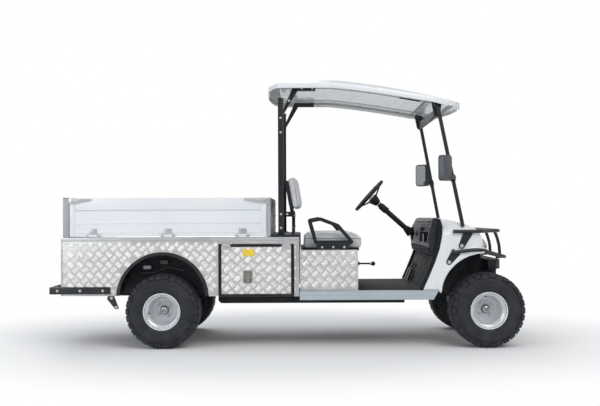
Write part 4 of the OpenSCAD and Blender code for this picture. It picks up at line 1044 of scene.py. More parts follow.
def roof_shell():
    """The white moulding: a soft crown, a rounded shoulder and a lip turned down all round."""
    sections = []
    for i in range(81):
        x = ROOF_X0 + (ROOF_X1 - ROOF_X0) * (1 - cos(pi * i / 80)) / 2
        half, low, lip, rise = roof_half(x), roof_edge(x), roof_lip(x), roof_rise(x)
        wall = min(0.009, 0.2 * half)
        side = [(half - wall, low + 0.6 * lip), (half - wall, low + 0.001), (half - 0.6 * wall, low - 0.002),
                (half - 0.2 * wall, low - 0.001), (half, low + 0.004), (half, low + 0.62 * lip),
                (half - 0.003, low + 0.8 * lip), (half - 0.01, low + 0.93 * lip)]
        inner = half - 0.022
        crown = [(inner * t, low + lip + rise * (1 - t ** 2.3)) for t in (k / 14 for k in range(14, -1, -1))]
        right = [(x, -y, z) for y, z in side + crown]
        left = [(x, y, z) for y, z in reversed(side + crown[:-1])]
        sections.append(right + left)
    return swept("roof shell", sections, WHITE_GELCOAT, 62)


def roof_liner():
    """The underside: a sunk panel inside a border, with long stiffening ribs and one across the front."""
    sections = []
    for i in range(97):
        x = ROOF_X0 + 0.014 + (ROOF_X1 - ROOF_X0 - 0.03) * (1 - cos(pi * i / 96)) / 2
        half, low = roof_half(x) - 0.0095, roof_edge(x) + 0.0205
        ends = min(1.0, max(0.0, min(x - ROOF_X0 - 0.09, ROOF_X1 - 0.12 - x) / 0.012))
        cross = max(0.0, 1 - abs(x - (ROOF_X1 - 0.31)) / 0.022)
        under = []
        for k in range(-34, 35):
            y = half * k / 34
            inside = min(1.0, max(0.0, (half * 0.9 - abs(y)) / 0.014)) * ends
            rib = max(0.0, 1 - abs(abs(y) - 0.345) / 0.03)
            under.append((x, y, low + 0.01 * inside - 0.006 * inside * max(min(1.0, 1.6 * rib), cross)))
        sections.append(under + [(x, half, low + 0.014), (x, -half, low + 0.014)])
    return swept("roof liner", sections, ROOF_UNDERSIDE, 60)


def roof_bolts():
    places = [((x, side * y, roof_edge(x) + 0.019), (0, 0, -1)) for side in (-1, 1)
               for x, y in ((ROOF_LOW - 0.03, 0.46), (ROOF_LOW - 0.03, 0.4), (0.95, 0.52))]
    return studs("roof bolts", places, HEX_BOLT, ZINC)


rod = tube(
    "roof stay", [(0.86, -0.47, roof_edge(0.86) + 0.005), (1.02, -0.47, roof_edge(1.02) + 0.004)], 0.006,
    BLACK_STEEL, 0, 10)
fit(merged("roof", [roof_shell(), roof_liner(), roof_bolts(), rod]), "chassis", "white_body", "roof_canopy")


def eased(a, b, steps):
    """A quarter-ellipse from a, upright, round to b, level."""
    turns = [pi / 2 * i / steps for i in range(steps + 1)]
    return [(a[0] + (b[0] - a[0]) * (1 - cos(t)), a[1] + (b[1] - a[1]) * sin(t)) for t in turns]


FENDER_TIP, ARCH_END = (FRONT_X - 0.346, 0.392), (FRONT_X - 0.019, 0.704)


def cowl_outline():
    ahead = [
        (0.03, 0.69), (0.036, 0.712), (0.026, 0.731), (-0.006, 0.779), (-0.038, 0.827), (-0.058, 0.865),
        (-0.08, 0.891), (-0.13, 0.914), (-0.2, 0.936), (-0.28, 0.956), (-0.354, 0.9715), (-0.336, 0.908),
        (-0.341, 0.826), (-0.36, 0.735), (-0.391, 0.645), (-0.437, 0.535), (-0.486, 0.4303),
        (-0.368, 0.4303)]
    return eased(FENDER_TIP, ARCH_END, 16) + [(FRONT_X + x, z) for x, z in ahead]


def across(name, outline, x0, x1):
    """A (y, z) outline given length along the cart."""
    n = len(outline)
    points = [(x, y, z) for x in (x0, x1) for y, z in outline]
    faces = [tuple(range(n)), tuple(range(2 * n - 1, n - 1, -1))]
    faces += [(i, (i + 1) % n, n + (i + 1) % n, n + i) for i in range(n)]
    return mesh_piece(name, points, faces, WHITE_GELCOAT)


def upright(name, outline, z0, z1):
    """An (x, y) outline given height."""
    n = len(outline)
    points = [(x, y, z) for z in (z0, z1) for x, y in outline]
    faces = [tuple(range(n)), tuple(range(2 * n - 1, n - 1, -1))]
    faces += [(i, (i + 1) % n, n + (i + 1) % n, n + i) for i in range(n)]
    return mesh_piece(name, points, faces, WHITE_GELCOAT)


def carve(obj, operation, tool):
    modifier = obj.modifiers.new(operation.lower(), "BOOLEAN")
    modifier.operation, modifier.object, modifier.solver = operation, tool, "EXACT"


LAMP_AXIS = Vector(
    (sin(radians(57)) * cos(radians(30)), sin(radians(57)) * sin(radians(30)), cos(radians(57))))
LAMP_AT = Vector((FRONT_X - 0.024, 0.506, 0.778))


def cowl():
    """The moulded nose: blended from its side, plan and shoulder outlines, flared over the wheels."""
    body = slab("cowl", cowl_outline(), -0.6, 0.6, WHITE_GELCOAT, 0)
    nose, corner = FRONT_X + 0.04, 0.19
    turn = [radians(7.5 * i) for i in range(13)]
    half_plan = [(nose - corner + corner * sin(a), 0.6 - corner + corner * cos(a)) for a in turn]
    plan = upright(
        "plan", [(FRONT_X - 0.52, 0.6)] + half_plan + [(x, -y) for x, y in reversed(half_plan)]
        + [(FRONT_X - 0.52, -0.6)], 0.3, 1.2)
    crown = [(0.6, 0.85), (0.575, 0.883), (0.53, 0.929), (0.47, 0.9845)]
    shoulder = across(
        "shoulder", [(-0.6, 0.2)] + [(-y, z) for y, z in crown] + [(-0.3, 1.02), (0.3, 1.02)] + crown[::-1]
        + [(0.6, 0.2)], FRONT_X - 0.6, FRONT_X + 0.2)
    arch = eased(FENDER_TIP, ARCH_END, 16)
    outer = eased(
        (FENDER_TIP[0] - 0.03, FENDER_TIP[1] + 0.07), (ARCH_END[0] - 0.02, ARCH_END[1] + 0.046), 16)
    flares = [
        slab("flare", arch + outer[::-1], side * 0.59, side * 0.606, WHITE_GELCOAT, 0) for side in (-1, 1)]
    tools = [plan, shoulder] + flares
    for tool, operation in zip(tools, ("INTERSECT", "INTERSECT", "UNION", "UNION")):
        carve(body, operation, tool)
    grid = body.modifiers.new("even", "REMESH")
    grid.mode, grid.voxel_size = "VOXEL", 0.0085
    soft = body.modifiers.new("soft", "SMOOTH")
    soft.factor, soft.iterations = 0.5, 7
    settled(body)
    back = [(-0.578, 0.3), (-0.578, 0.862), (-0.484, 0.945), (0.484, 0.945), (0.578, 0.862), (0.578, 0.3)]
    cuts = [
        across("back", back, FRONT_X - 0.62, FRONT_X - 0.3),
        block("well", (FRONT_X - 0.62, -0.5781, 0.3), (FRONT_X + 0.012, 0.5781, 0.716), WHITE_GELCOAT, 0)]
    for side in (-1, 1):
        hole = lathe("lamp hole", [(0.0001, -0.05), (0.0475, -0.05), (0.0475, 0.14), (0.0001, 0.14)],
                     WHITE_GELCOAT, 40)
        cuts.append(placed(hole, at_side(LAMP_AT, side), at_side(LAMP_AXIS, side)))
    for cut in cuts:
        carve(body, "DIFFERENCE", cut)
    settled(body)
    for tool in tools + cuts:
        bpy.data.objects.remove(tool)
    body.data.materials.clear()
    body.data.materials.append(WHITE_GELCOAT)
    return smooth(body, 40)


fit(cowl(), "chassis", "white_body", "front_cowl")


def headlight():
    """An upright round lamp: rim, reflector bowl, bulb and a domed lens."""
    rim_part = lathe(
        "lamp rim", [(0.0462, -0.02), (0.0464, 0.008), (0.0445, 0.013), (0.041, 0.0125), (0.0398, 0.008),
        (0.04, -0.02)], LAMP_RIM, 48)
    bowl = lathe(
        "lamp bowl", [(0.0398, 0.006), (0.037, -0.006), (0.03, -0.018), (0.018, -0.026), (0.0001, -0.028),
        (0.0001, -0.03), (0.0395, -0.03)], REFLECTOR, 48)
    bulb = lathe(
        "bulb", [(0.0001, 0.002), (0.0045, 0.0), (0.0065, -0.006), (0.006, -0.016), (0.0085, -0.022),
        (0.0001, -0.027)], LAMP_LENS, 20)
    lens = lathe(
        "lens", [(0.0001, 0.0185), (0.016, 0.0172), (0.029, 0.0135), (0.0385, 0.0085), (0.04, 0.006),
        (0.0385, 0.0062), (0.0285, 0.0112), (0.016, 0.0148), (0.0001, 0.016)], LAMP_LENS, 48)
    return merged("headlight", [rim_part, bowl, bulb, lens])


lamps = [placed(headlight(), at_side(LAMP_AT, side), at_side(LAMP_AXIS, side)) for side in (-1, 1)]
fit(merged("headlamps", lamps), "chassis", "headlight_lens", "headlights")


def mirrored_path(half):
    """A path given from the middle outwards, carried over to the other side."""
    return [(x, -y, z) for x, y, z in reversed(half) if y > 0.001] + half


def guard():
    """Two bent loops, two curved uprights, flat brackets and their bolts."""
    x, side = FRONT_X, 0.617
    high, low = 0.87, 0.73
    top = [(x + 0.14, 0, high), (x + 0.14, 0.375, high), (x + 0.04, 0.47, high),
           (x - 0.06, side - 0.014, high), (x - 0.13, side, high), (x - 0.262, side, high)]
    bottom = [(x + 0.186, 0, 0.666), (x + 0.186, 0.385, 0.667), (x + 0.08, 0.48, 0.694),
              (x - 0.04, side - 0.014, low), (x - 0.11, side, low + 0.002), (x - 0.266, side, low - 0.018)]
    parts = [tube("loop", mirrored_path(path), 0.0134, BLACK_STEEL, 0.085, 20) for path in (top, bottom)]
    for y in (-0.175, 0.175):
        parts.append(
            tube("upright", [(x + 0.14, y, high), (x + 0.16, y, 0.825), (x + 0.18, y, 0.755),
            (x + 0.186, y, 0.666)], 0.0125, BLACK_STEEL, 0.06, 16))
    places = []
    for s in (-1, 1):
        parts.append(tube("foot", [(x + 0.186, s * 0.28, 0.666), (x + 0.13, s * 0.28, 0.6605)],
                          0.0115, BLACK_STEEL, 0, 16))
        for end, head in (
                ((x - 0.195, 0.762), (x - 0.142, high)), ((x - 0.29, 0.64), (x - 0.233, low - 0.01))):
            way = Vector((head[0] - end[0], 0, head[1] - end[1])).normalized()
            aside = Vector((-way.z, 0, way.x))
            half = 0.0225
            arc = [radians(180 + 15 * i) for i in range(13)]
            outline = [(end[0] + half * (way.x * sin(a) + aside.x * cos(a)),
                        end[1] + half * (way.z * sin(a) + aside.z * cos(a))) for a in arc]
            outline += [(head[0] + half * 1.6 * aside.x, head[1] + half * 1.6 * aside.z),
                        (head[0] - half * 1.6 * aside.x, head[1] - half * 1.6 * aside.z)]
            parts.append(slab("bracket", outline, s * 0.6003, s * 0.6062, BLACK_STEEL, 0.0012))
            parts.append(bolt("bracket bolt", (end[0], s * 0.6062, end[1]), (0, s, 0), ZINC, 0.0105, 0.0085))
            places.append(((head[0], s * 0.6062, head[1] - 0.035), (0, s, 0)))
    parts.append(studs("guard bolts", places, HEX_BOLT, BLACK_STEEL, 0.9))
    return merged("guard", parts)


fit(guard(), "chassis", "black_steel", "brush_guard")
bumper = softened("bumper beam", "front_bumper", BLACK_PLASTIC, 0.006, 35, 3)
bumper_bolts = studs(
    "bumper bolts", [((FRONT_X + 0.1482, y, 0.612), (1, 0, 0)) for y in (-0.26, -0.09, 0.09, 0.26)],
    HEX_BOLT, BLACK_STEEL, 1.2)
fit(merged("bumper", [bumper, bumper_bolts]), "chassis", "black_plastic", "front_bumper")


def arch_liner(side):
    """Rear wheel arch: a rolled black lip on the plate, an inner wall and its ribs."""
    centre, radius = (-0.937, 0.375), 0.348

    def arc(r, low=0.397):
        start = asin((low - centre[1]) / r)
        steps = 40
        return [(centre[0] + r * cos(a), centre[1] + r * sin(a))
                for a in (start + (pi - 2 * start) * i / steps for i in range(steps + 1))]

    lip = slab("arch lip", arc(radius - 0.0005) + arc(radius - 0.026)[::-1], side * 0.59, side * 0.5985,
               BLACK_PLASTIC, 0.0025)
    wall = slab("arch wall", arc(radius - 0.006), side * 0.352, side * 0.358, BLACK_PLASTIC, 0)
    parts = [lip, wall]
    for angle in (25, 58, 90, 122, 155):
        a = radians(angle)
        inner, outer = 0.318, 0.3425
        here = [(centre[0] + r * cos(a + d), centre[1] + r * sin(a + d))
                for r, d in ((inner, -0.012), (outer, -0.012), (outer, 0.012), (inner, 0.012))]
        parts.append(slab("arch rib", here, side * 0.362, side * 0.588, BLACK_PLASTIC, 0.002))
    parts.append(
        block("relay box", (-0.985, side * 0.372, 0.622), (-0.925, side * 0.402, 0.652), GREY_TRIM, 0.003))
    parts.append(
        block("white box", (-1.115, side * 0.372, 0.585), (-1.055, side * 0.402, 0.612), WHITE_COAT, 0.003))
    parts.append(
        tube("brake pipe", [(-1.14, side * 0.366, 0.55), (-1.03, side * 0.366, 0.556),
        (-0.93, side * 0.366, 0.6), (-0.8, side * 0.366, 0.57)], 0.004, GREY_TRIM, 0.03, 8))
    return parts


arch_parts = arch_liner(
    LEFT) + arch_liner(RIGHT) + [softened("liners", "wheel_arch_liners", BLACK_PLASTIC, 0.001)]
fit(merged("arch_liners", arch_parts), "chassis", "black_plastic", "wheel_arch_liners")


# ---- Bed, toolboxes and rear end ----

BAR_OUT = {side: bar_shape(f"bar {label}", 0.044, 0.0072, 0.0014, side) for label, side in SIDES}
SHAPES += list(BAR_OUT.values())
SIDE_FACE, DOOR_FACE = 0.6, 0.604


def tread(name, base, side, low, high, cell=(0.072, 0.079), slant=0.84):
    """Raised bars over an upright sheet, between two (x, z) corners, on its face at low[1] * side."""
    face = side * low[1]
    # The bars carry the lighter finish that paints their highlight.
    return BARS.grow(
        name, base, Bar=BAR_OUT[side], Low=(low[0], face, low[2]), High=(high[0], face, high[2]),
        Cell_length=cell[0], Cell_height=cell[1], Gap=0.0096, Bars=5, Half_bar=0.022, Facing=side,
        Slant=slant, Finish=PLATE_BARS_PAINTED_HIGHLIGHT)


def ring_frame(name, low, high, band, y0, y1, finish, edge=0.002):
    """A flat frame round an (x, z) rectangle, its bands inside the rectangle."""
    (x0, z0), (x1, z1) = low, high
    bars = [((x0, z0), (x1, z0 + band)), ((x0, z1 - band), (x1, z1)),
            ((x0, z0 + band), (x0 + band, z1 - band)), ((x1 - band, z0 + band), (x1, z1 - band))]
    return [block(name, (a[0], y0, a[1]), (b[0], y1, b[1]), finish, edge) for a, b in bars]


plates = [softened("side plates", "bed_side_plates", TREAD_PLATE, 0.0008)]
for label, side in SIDES:
    plates.append(
        tread("side bars", NODES["bed_side_plates"], side, (-1.6955, SIDE_FACE, 0.392),
        (0.066, SIDE_FACE, 0.807)))
    y0, y1 = side * 0.5995, side * 0.6026
    for x0, x1, low in ((0.0655, 0.0905, 0.3895), (-1.6958, -1.6868, 0.3975)):
        plates.append(block("edge trim", (x0, y0, low), (x1, y1, 0.8065), RAIL_ALUMINIUM, 0.001))
    rivets = [((0.078, side * 0.6026, z), (0, side, 0)) for z in (0.42, 0.51, 0.6, 0.69, 0.78)]
    rivets += [((x, side * 0.6002, 0.409), (0, side, 0)) for x in (-1.62, -1.45, -0.53, 0.03)]
    plates.append(studs("trim rivets", rivets, RIVET, ZINC, 0.9))
fit(merged("side_plates", plates), "chassis", "diamond_plate", "bed_side_plates")

seat_plates = [softened("seat plates", "seat_side_plates", TREAD_PLATE, 0.001)]
for label, side in SIDES:
    seat_plates.append(
        tread("seat bars", NODES["seat_side_plates"], side, (0.103, SIDE_FACE, 0.434),
        (0.526, SIDE_FACE, 0.731)))
fit(merged("seat_plates", seat_plates), "chassis", "diamond_plate", "seat_side_plates")


def rear_sheet():
    """The sheet below the tailgate, worked lying sideways; its lamps sit below the folded gate."""
    turn = Matrix.Rotation(radians(90), 4, "Z")
    sheet = link("sheet", NODES["rear_panel"].data.copy())
    sheet.data.transform(turn)
    # The bars carry the lighter finish that paints their highlight.
    bars = BARS.grow(
        "rear bars", sheet, Bar=BAR_OUT[RIGHT], Low=(-0.566, -1.6955, 0.402), High=(0.566, -1.6955, 0.79),
        Cell_length=0.072, Cell_height=0.079, Gap=0.0096, Bars=5, Half_bar=0.022, Facing=RIGHT, Slant=0.84,
        Finish=PLATE_BARS_PAINTED_HIGHLIGHT)
    bars.data.transform(turn.inverted())
    bpy.data.objects.remove(sheet)
    lamps = []
    for s in (-1, 1):
        base = block("tail lamp base", (-1.7035, s * 0.5 - 0.038, 0.44), (-1.695, s * 0.5 + 0.038, 0.515),
                     BLACK_PLASTIC, 0.003)
        lens = block("tail lamp", (-1.7085, s * 0.5 - 0.032, 0.446), (-1.703, s * 0.5 + 0.032, 0.509),
                     RED_LENS, 0.003)
        lamps += [base, lens]
    return [softened("rear sheet", "rear_panel", TREAD_PLATE, 0.001), bars] + lamps


fit(merged("rear_sheet", rear_sheet()), "chassis", "diamond_plate", "rear_panel")
fit(softened("rails", "bed_rails", RAIL_ALUMINIUM, 0.0025), "chassis", "rail_aluminium", "bed_rails")
fit(softened("bed_sheet", "bed_floor", RAIL_ALUMINIUM, 0.001), "chassis", "rail_aluminium", "bed_floor")
fit(softened("box_shells", "toolboxes", RAIL_ALUMINIUM, 0.0008), "chassis", "rail_aluminium", "toolboxes")

DOOR_X = (-0.5095, 0.0455)


def door(label, side):
    """A toolbox door: barred face, rubber surround, blank plate, paddle latch and hinge plates."""
    node = f"toolbox_door_{label}"
    y = side * DOOR_FACE
    out = side * 0.0012
    parts = [
        softened("door", node, TREAD_PLATE, 0.0012),
        tread("door bars", NODES[node], side, (DOOR_X[0] + 0.018, DOOR_FACE, 0.411),
        (DOOR_X[1] - 0.018, DOOR_FACE, 0.757), (0.079, 0.072), 0.73)]
    parts += ring_frame(
        "seal", (DOOR_X[0], 0.3915), (DOOR_X[1], 0.7765), 0.017, y - out, y + 2.2 * out, RUBBER_SEAL)
    parts += ring_frame(
        "seal", (DOOR_X[0] + 0.006, 0.3975), (DOOR_X[1] - 0.006, 0.7705), 0.004, y + 2.0 * out,
        y + 3.2 * out, RUBBER_SEAL, 0.0012)

    def flat(name, x0, x1, z0, z1, depth, finish, edge=0.001):
        parts.append(block(name, (x0, y, z0), (x1, y + side * depth, z1), finish, edge))

    flat("blank plate", -0.33, -0.243, 0.6905, 0.7425, 0.0034, PLATE_YELLOW)
    flat("latch bed", -0.33, -0.26, 0.488, 0.585, 0.003, LATCH_METAL, 0.0012)
    parts += ring_frame(
        "latch rim", (-0.325, 0.493), (-0.265, 0.58), 0.006, y + side * 0.0028, y + side * 0.0058,
        LATCH_METAL, 0.0012)
    flat("latch well", -0.318, -0.272, 0.5, 0.573, 0.0036, GREY_TRIM, 0)
    flat("latch paddle", -0.315, -0.275, 0.52, 0.568, 0.0066, LATCH_METAL, 0.0018)
    parts.append(bolt("keyhole", (-0.295, y + side * 0.0036, 0.5105), (0, side, 0), ZINC, 0.0048, 0.003))
    screws = [(-0.3235, 0.6965), (-0.2495, 0.6965), (-0.3235, 0.7365), (-0.2495, 0.7365)]
    heads = [((x, y + side * 0.0034, z), (0, side, 0)) for x, z in screws]
    heads += [((x, y + side * 0.003, z), (0, side, 0)) for x in (-0.3265, -0.2635) for z in (0.4915, 0.5815)]
    for x in (FRONT_X - 2.013 + 0.055, FRONT_X - 1.452 - 0.055):
        flat("hinge plate", x - 0.036, x + 0.036, 0.74, 0.768, 0.005, RAIL_ALUMINIUM, 0.0012)
        heads += [((x + d, y + side * 0.005, 0.753), (0, side, 0)) for d in (-0.024, 0.0, 0.024)]
    parts.append(studs("door screws", heads, RIVET, ZINC, 0.75))
    return merged(f"door_{label}", parts)


for label, side in SIDES:
    fit(door(label, side), f"toolbox_door_{label}", "diamond_plate", f"toolbox_door_{label}")


SIDE_X0, SIDE_X1 = -1.6825 + 0.045 + 0.006, -0.1555
SIDE_TOP = 1.13


def latch_lever(x, reach, side):
    """A long tapered latch lever with its pivot, lying along the top edge from x over reach."""
    y0, y1 = side * 0.5946, side * 0.605
    parts = [
        slab("lever", [(x, 1.121), (x, 1.092), (x + 0.25 * reach, 1.088), (x + 0.93 * reach, 1.108),
        (x + reach, 1.117), (x + 0.97 * reach, 1.124), (x + 0.2 * reach, 1.126)], y0, y1, RAIL_ALUMINIUM,
        0.003), slab("lever seat", [(x - 0.012 * copysign(1, reach), 1.085), (x + 0.22 * reach, 1.078),
        (x + 0.24 * reach, 1.129), (x - 0.012 * copysign(1, reach), 1.129)], side * 0.5942, side * 0.5985,
        ZINC, 0.0015), bolt("lever pivot", (x + 0.1 * reach, side * 0.605, 1.107), (0, side, 0), ZINC,
        0.0085, 0.006)]
    return parts


def drop_side(label, side):
    """A white drop side: framed outer face, pressed ribs, hinge straps and two latches."""
    node = f"drop_side_{label}"
    y = side * 0.595

    def strip(x0, x1, z0, z1, depth=0.0022, finish=WHITE_COAT, edge=0.002):
        return block("strip", (x0, y - side * 0.0004, z0), (x1, y + side * depth, z1), finish, edge)

    parts = [softened("panel", node, WHITE_COAT, 0.002)]
    parts += [
        strip(SIDE_X0 + 0.002, SIDE_X0 + 0.036, 0.845, SIDE_TOP - 0.002),
        strip(SIDE_X1 - 0.036, SIDE_X1 - 0.002, 0.845, SIDE_TOP - 0.002),
        strip(SIDE_X0 + 0.045, SIDE_X1 - 0.045, 1.04, SIDE_TOP - 0.003),
        strip(SIDE_X0 + 0.045, SIDE_X1 - 0.045, 0.935, 0.957, 0.003, WHITE_COAT, 0.0028),
        strip(SIDE_X0 + 0.045, SIDE_X1 - 0.045, 0.866, 0.88, 0.0026, WHITE_COAT, 0.0024)]
    heads = []
    for place in (0.12, 0.5, 0.88):
        x = SIDE_X0 + place * (SIDE_X1 - SIDE_X0)
        parts.append(strip(x - 0.029, x + 0.029, 0.85, 0.9, 0.0045, RAIL_ALUMINIUM, 0.002))
        heads += [
            ((x + d, y + side * 0.0045, z), (0, side, 0)) for d in (-0.018, 0.018) for z in (0.864, 0.888)]
    parts.append(studs("strap rivets", heads, RIVET, ZINC, 1.0))
    parts += latch_lever(SIDE_X0 + 0.004, 0.165, side) + latch_lever(SIDE_X1 - 0.004, -0.165, side)
    return merged(f"side_{label}", parts)


for label, side in SIDES:
    fit(drop_side(label, side), f"drop_side_{label}", "white_drop_side", f"drop_side_{label}")


def gate():
    """The tailgate, pressed and framed like the drop sides, with three strap hinges."""
    half, x = 0.541, -1.6825
    parts = [softened("gate", "tailgate", WHITE_COAT, 0.002)]
    for y0, y1, z0, z1 in (
            (-half + 0.002, -half + 0.034, 0.845, 1.128), (half - 0.034, half - 0.002, 0.845, 1.128),
            (-half + 0.045, half - 0.045, 1.04, 1.127), (-half + 0.045, half - 0.045, 0.935, 0.957),
            (-half + 0.045, half - 0.045, 0.866, 0.88)):
        parts.append(block("strip", (x - 0.0018, y0, z0), (x + 0.0004, y1, z1), WHITE_COAT, 0.0012))
    heads = []
    for y in (-0.38, 0.0, 0.38):
        parts.append(
            block("strap", (x - 0.0025, y - 0.029, 0.85), (x, y + 0.029, 0.9), RAIL_ALUMINIUM, 0.001))
        heads += [((x - 0.0025, y + d, z), (-1, 0, 0)) for d in (-0.018, 0.018) for z in (0.864, 0.888)]
    parts.append(studs("gate rivets", heads, RIVET, ZINC, 0.6))
    return merged("gate", parts)


fit(gate(), "tailgate", "white_drop_side", "tailgate")

head_parts = [softened("head panel", "headboard", HEADBOARD_GREY, 0.003)]
for z0, z1 in ((0.885, 0.905), (0.985, 1.005), (1.085, 1.105)):
    head_parts.append(block("head rib", (-0.1255, -0.56, z0), (-0.1215, 0.56, z1), HEADBOARD_GREY, 0.003))
for side in (-1, 1):
    head_parts.append(
        block("keeper", (-0.15, side * 0.6005 - 0.0055, 1.08), (-0.128, side * 0.6005 + 0.0055, 1.122),
        ZINC, 0.002))
    head_parts.append(bolt("keeper bolt", (-0.139, side * 0.606, 1.101), (0, side, 0), ZINC, 0.006, 0.005))
fit(merged("head_panel", head_parts), "chassis", "headboard_grey", "headboard")
post_parts = [softened("rear posts", "corner_posts", HEADBOARD_GREY, 0.003)]
for side in (-1, 1):
    post_parts.append(
        block("cap", (-1.6835, side * 0.5725 - 0.0235, 1.1285), (-1.6365, side * 0.5725 + 0.0235, 1.1325),
        BLACK_PLASTIC, 0.0015))
    post_parts.append(bolt("post bolt", (-1.66, side * 0.595, 0.9), (0, side, 0), ZINC, 0.006, 0.005))
fit(merged("bed_posts", post_parts), "chassis", "headboard_grey", "corner_posts")

step_parts = [softened("step frame", "rear_bumper", BLACK_STEEL, 0.003)]
step_bolts = []
for side in (-1, 1):
    step_parts.append(
        slab("arch bracket", [(-1.345, 0.4), (-1.3, 0.4), (-1.262, 0.3), (-1.29, 0.296), (-1.352, 0.372)],
        side * 0.588, side * 0.5955, BLACK_STEEL, 0.0015))
    step_bolts += [
        ((-1.317, side * 0.5955, 0.38), (0, side, 0)), ((-1.283, side * 0.5955, 0.312), (0, side, 0))]
    step_bolts += [((x, side * 0.61, 0.436), (0, side, 0)) for x in (-1.72, -1.55, -1.38)]
step_parts.append(studs("step bolts", step_bolts, HEX_BOLT, ZINC, 1.1))
groove = block("groove", (0, -0.54, -0.0012), (0.004, 0.54, 0.0012), RUBBER_SEAL, 0)
step_parts.append(rib_row("step grooves", groove, 6, (-1.772, 0.0, 0.4638), (0.01, 0.0, 0.0), RUBBER_SEAL))
fit(merged("step_frame", step_parts), "chassis", "black_steel", "rear_bumper")


# ---- Seat ----

def on_surface(tree, points, lift=0.0):
    """Points moved to the nearest place on a piece, lifted along its surface there."""
    found = []
    for p in points:
        place, normal, _, _ = tree.find_nearest(Vector(p))
        found.append(place + normal * lift)
    return found


# How far a seam holds the cover round it, the air in a pad, and the frames that it takes to settle
SEAM_WIDTH, PAD_PRESSURE, PAD_FRAMES = 0.008, 4.0, 20


def stuffed(name, start, voxel, seams, cap, low, high, turn=None):
    """A pad blown up by its own cloth pass, held along its seams, and kept inside its space.

    seams says how far a point lies from the nearest seam; low and high are the space's corners in the
    pad's own upright frame, and turn brings that frame to the cart.
    """
    grid = start.modifiers.new("even", "REMESH")
    grid.mode, grid.voxel_size = "VOXEL", voxel
    settled(start)
    start.name = name
    rest = [v.co.copy() for v in start.data.vertices]
    held = start.vertex_groups.new(name="seams")
    for i, co in enumerate(rest):
        near = seams(co)
        if near < SEAM_WIDTH:
            held.add([i], 1.0 - near / SEAM_WIDTH, "REPLACE")
    cloth = start.modifiers.new("cloth", "CLOTH")
    settings = cloth.settings
    settings.use_pressure = True
    settings.uniform_pressure_force = PAD_PRESSURE
    settings.effector_weights.gravity = 0.0
    settings.vertex_group_mass = "seams"
    settings.quality = 5
    for f in range(1, PAD_FRAMES + 1):
        SCENE.frame_set(f)
    view = bpy.context.evaluated_depsgraph_get()
    blown = [v.co.copy() for v in start.evaluated_get(view).data.vertices]
    start.modifiers.clear()
    SCENE.frame_set(1)
    for v, a, b in zip(start.data.vertices, rest, blown):
        move = b - a
        if move.length > cap:
            move *= cap / move.length
        v.co = Vector(min(max(c, lo), hi) for c, lo, hi in zip(a + move, low, high))
    start.modifiers.new("fine", "SUBSURF").levels = 1
    settled(start)
    if turn is not None:
        start.data.transform(turn)
    start.vertex_groups.clear()
    start.data.materials.clear()
    start.data.materials.append(SEAT_VINYL)
    start.data.shade_smooth()
    return start


def stitches(name, path, length=0.0055, gap=0.0035, radius=0.0006):
    """Short threads laid end to end along a path."""
    points, faces = [], []
    left = gap
    for a, b in zip(path, path[1:]):
        run = (b - a).length
        if run < 1e-6:
            continue
        along = (b - a) / run
        aside = along.cross(Vector((0.31, 0.2, 0.93))).normalized()
        up = along.cross(aside)
        at = left
        while at + length < run:
            base = len(points)
            for d in (0.0, length):
                points += [a + along * (at + d) + (aside * cos(t) + up * sin(t)) * radius
                           for t in (2 * pi * k / 5 for k in range(5))]
            faces += [(base + k, base + (k + 1) % 5, base + 5 + (k + 1) % 5, base + 5 + k) for k in range(5)]
            faces += [tuple(base + k for k in range(5)), tuple(base + 5 + k for k in range(5))]
            at += length + gap
        left = max(0.0, at - run)
    return mesh_piece(name, points, faces, THREAD, 60)


def spread(points, step):
    """The path with extra points, none further apart than the step."""
    points = [Vector(p) for p in points]
    path = [points[0]]
    for a, b in zip(points, points[1:]):
        n = max(1, ceil((b - a).length / step))
        path += [a.lerp(b, (i + 1) / n) for i in range(n)]
    return path


SEAT_LOW, SEAT_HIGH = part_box("seat_cushion")
CHANNELS = (-0.176, 0.176)


def piped_channel(tree, line):
    """A piped channel along a line on a pad, with a row of stitches on each side of it."""
    parts = [tube("channel", on_surface(tree, line, -0.0012), 0.0022, VINYL_PIPING, 0, 6)]
    for d in (-0.006, 0.006):
        beside = [p + Vector((0, d, 0)) for p in line]
        parts.append(stitches("channel stitches", on_surface(tree, beside)))
    return parts


def surface_of(piece):
    """The search tree of a piece's faces."""
    mesh = piece.data
    return BVHTree.FromPolygons([v.co for v in mesh.vertices], [p.vertices for p in mesh.polygons])


def seat_outline(inset):
    """Side outline of the bench: a full rolled front edge and a softer back one."""
    x0, x1 = SEAT_LOW.x + inset, SEAT_HIGH.x - inset
    z0, z1 = SEAT_LOW.z, SEAT_HIGH.z - inset
    corners = [(x1, z1, 0.046, 0), (x0, z1, 0.04, 90), (x0, z0, 0.012, 180), (x1, z0, 0.022, 270)]
    outline = []
    for x, z, r, start in corners:
        cx, cz = (x - r if start in (0, 270) else x + r), (z - r if start in (0, 90) else z + r)
        outline += [(cx + r * cos(radians(start + 15 * i)), cz + r * sin(radians(start + 15 * i)))
                    for i in range(7)]
    return outline


def seat_seams(co):
    """How far a point is from the bench's channels, its top welt or its bottom edge."""
    welt = abs(co.z - (SEAT_HIGH.z - 0.04)) if co.z < SEAT_HIGH.z - 0.025 else 1.0
    channel = min(abs(co.y - y) for y in CHANNELS) if co.z > SEAT_HIGH.z - 0.045 else 1.0
    bottom = 0.0 if co.z < SEAT_LOW.z + 0.004 else 1.0
    return min(welt, channel, bottom)


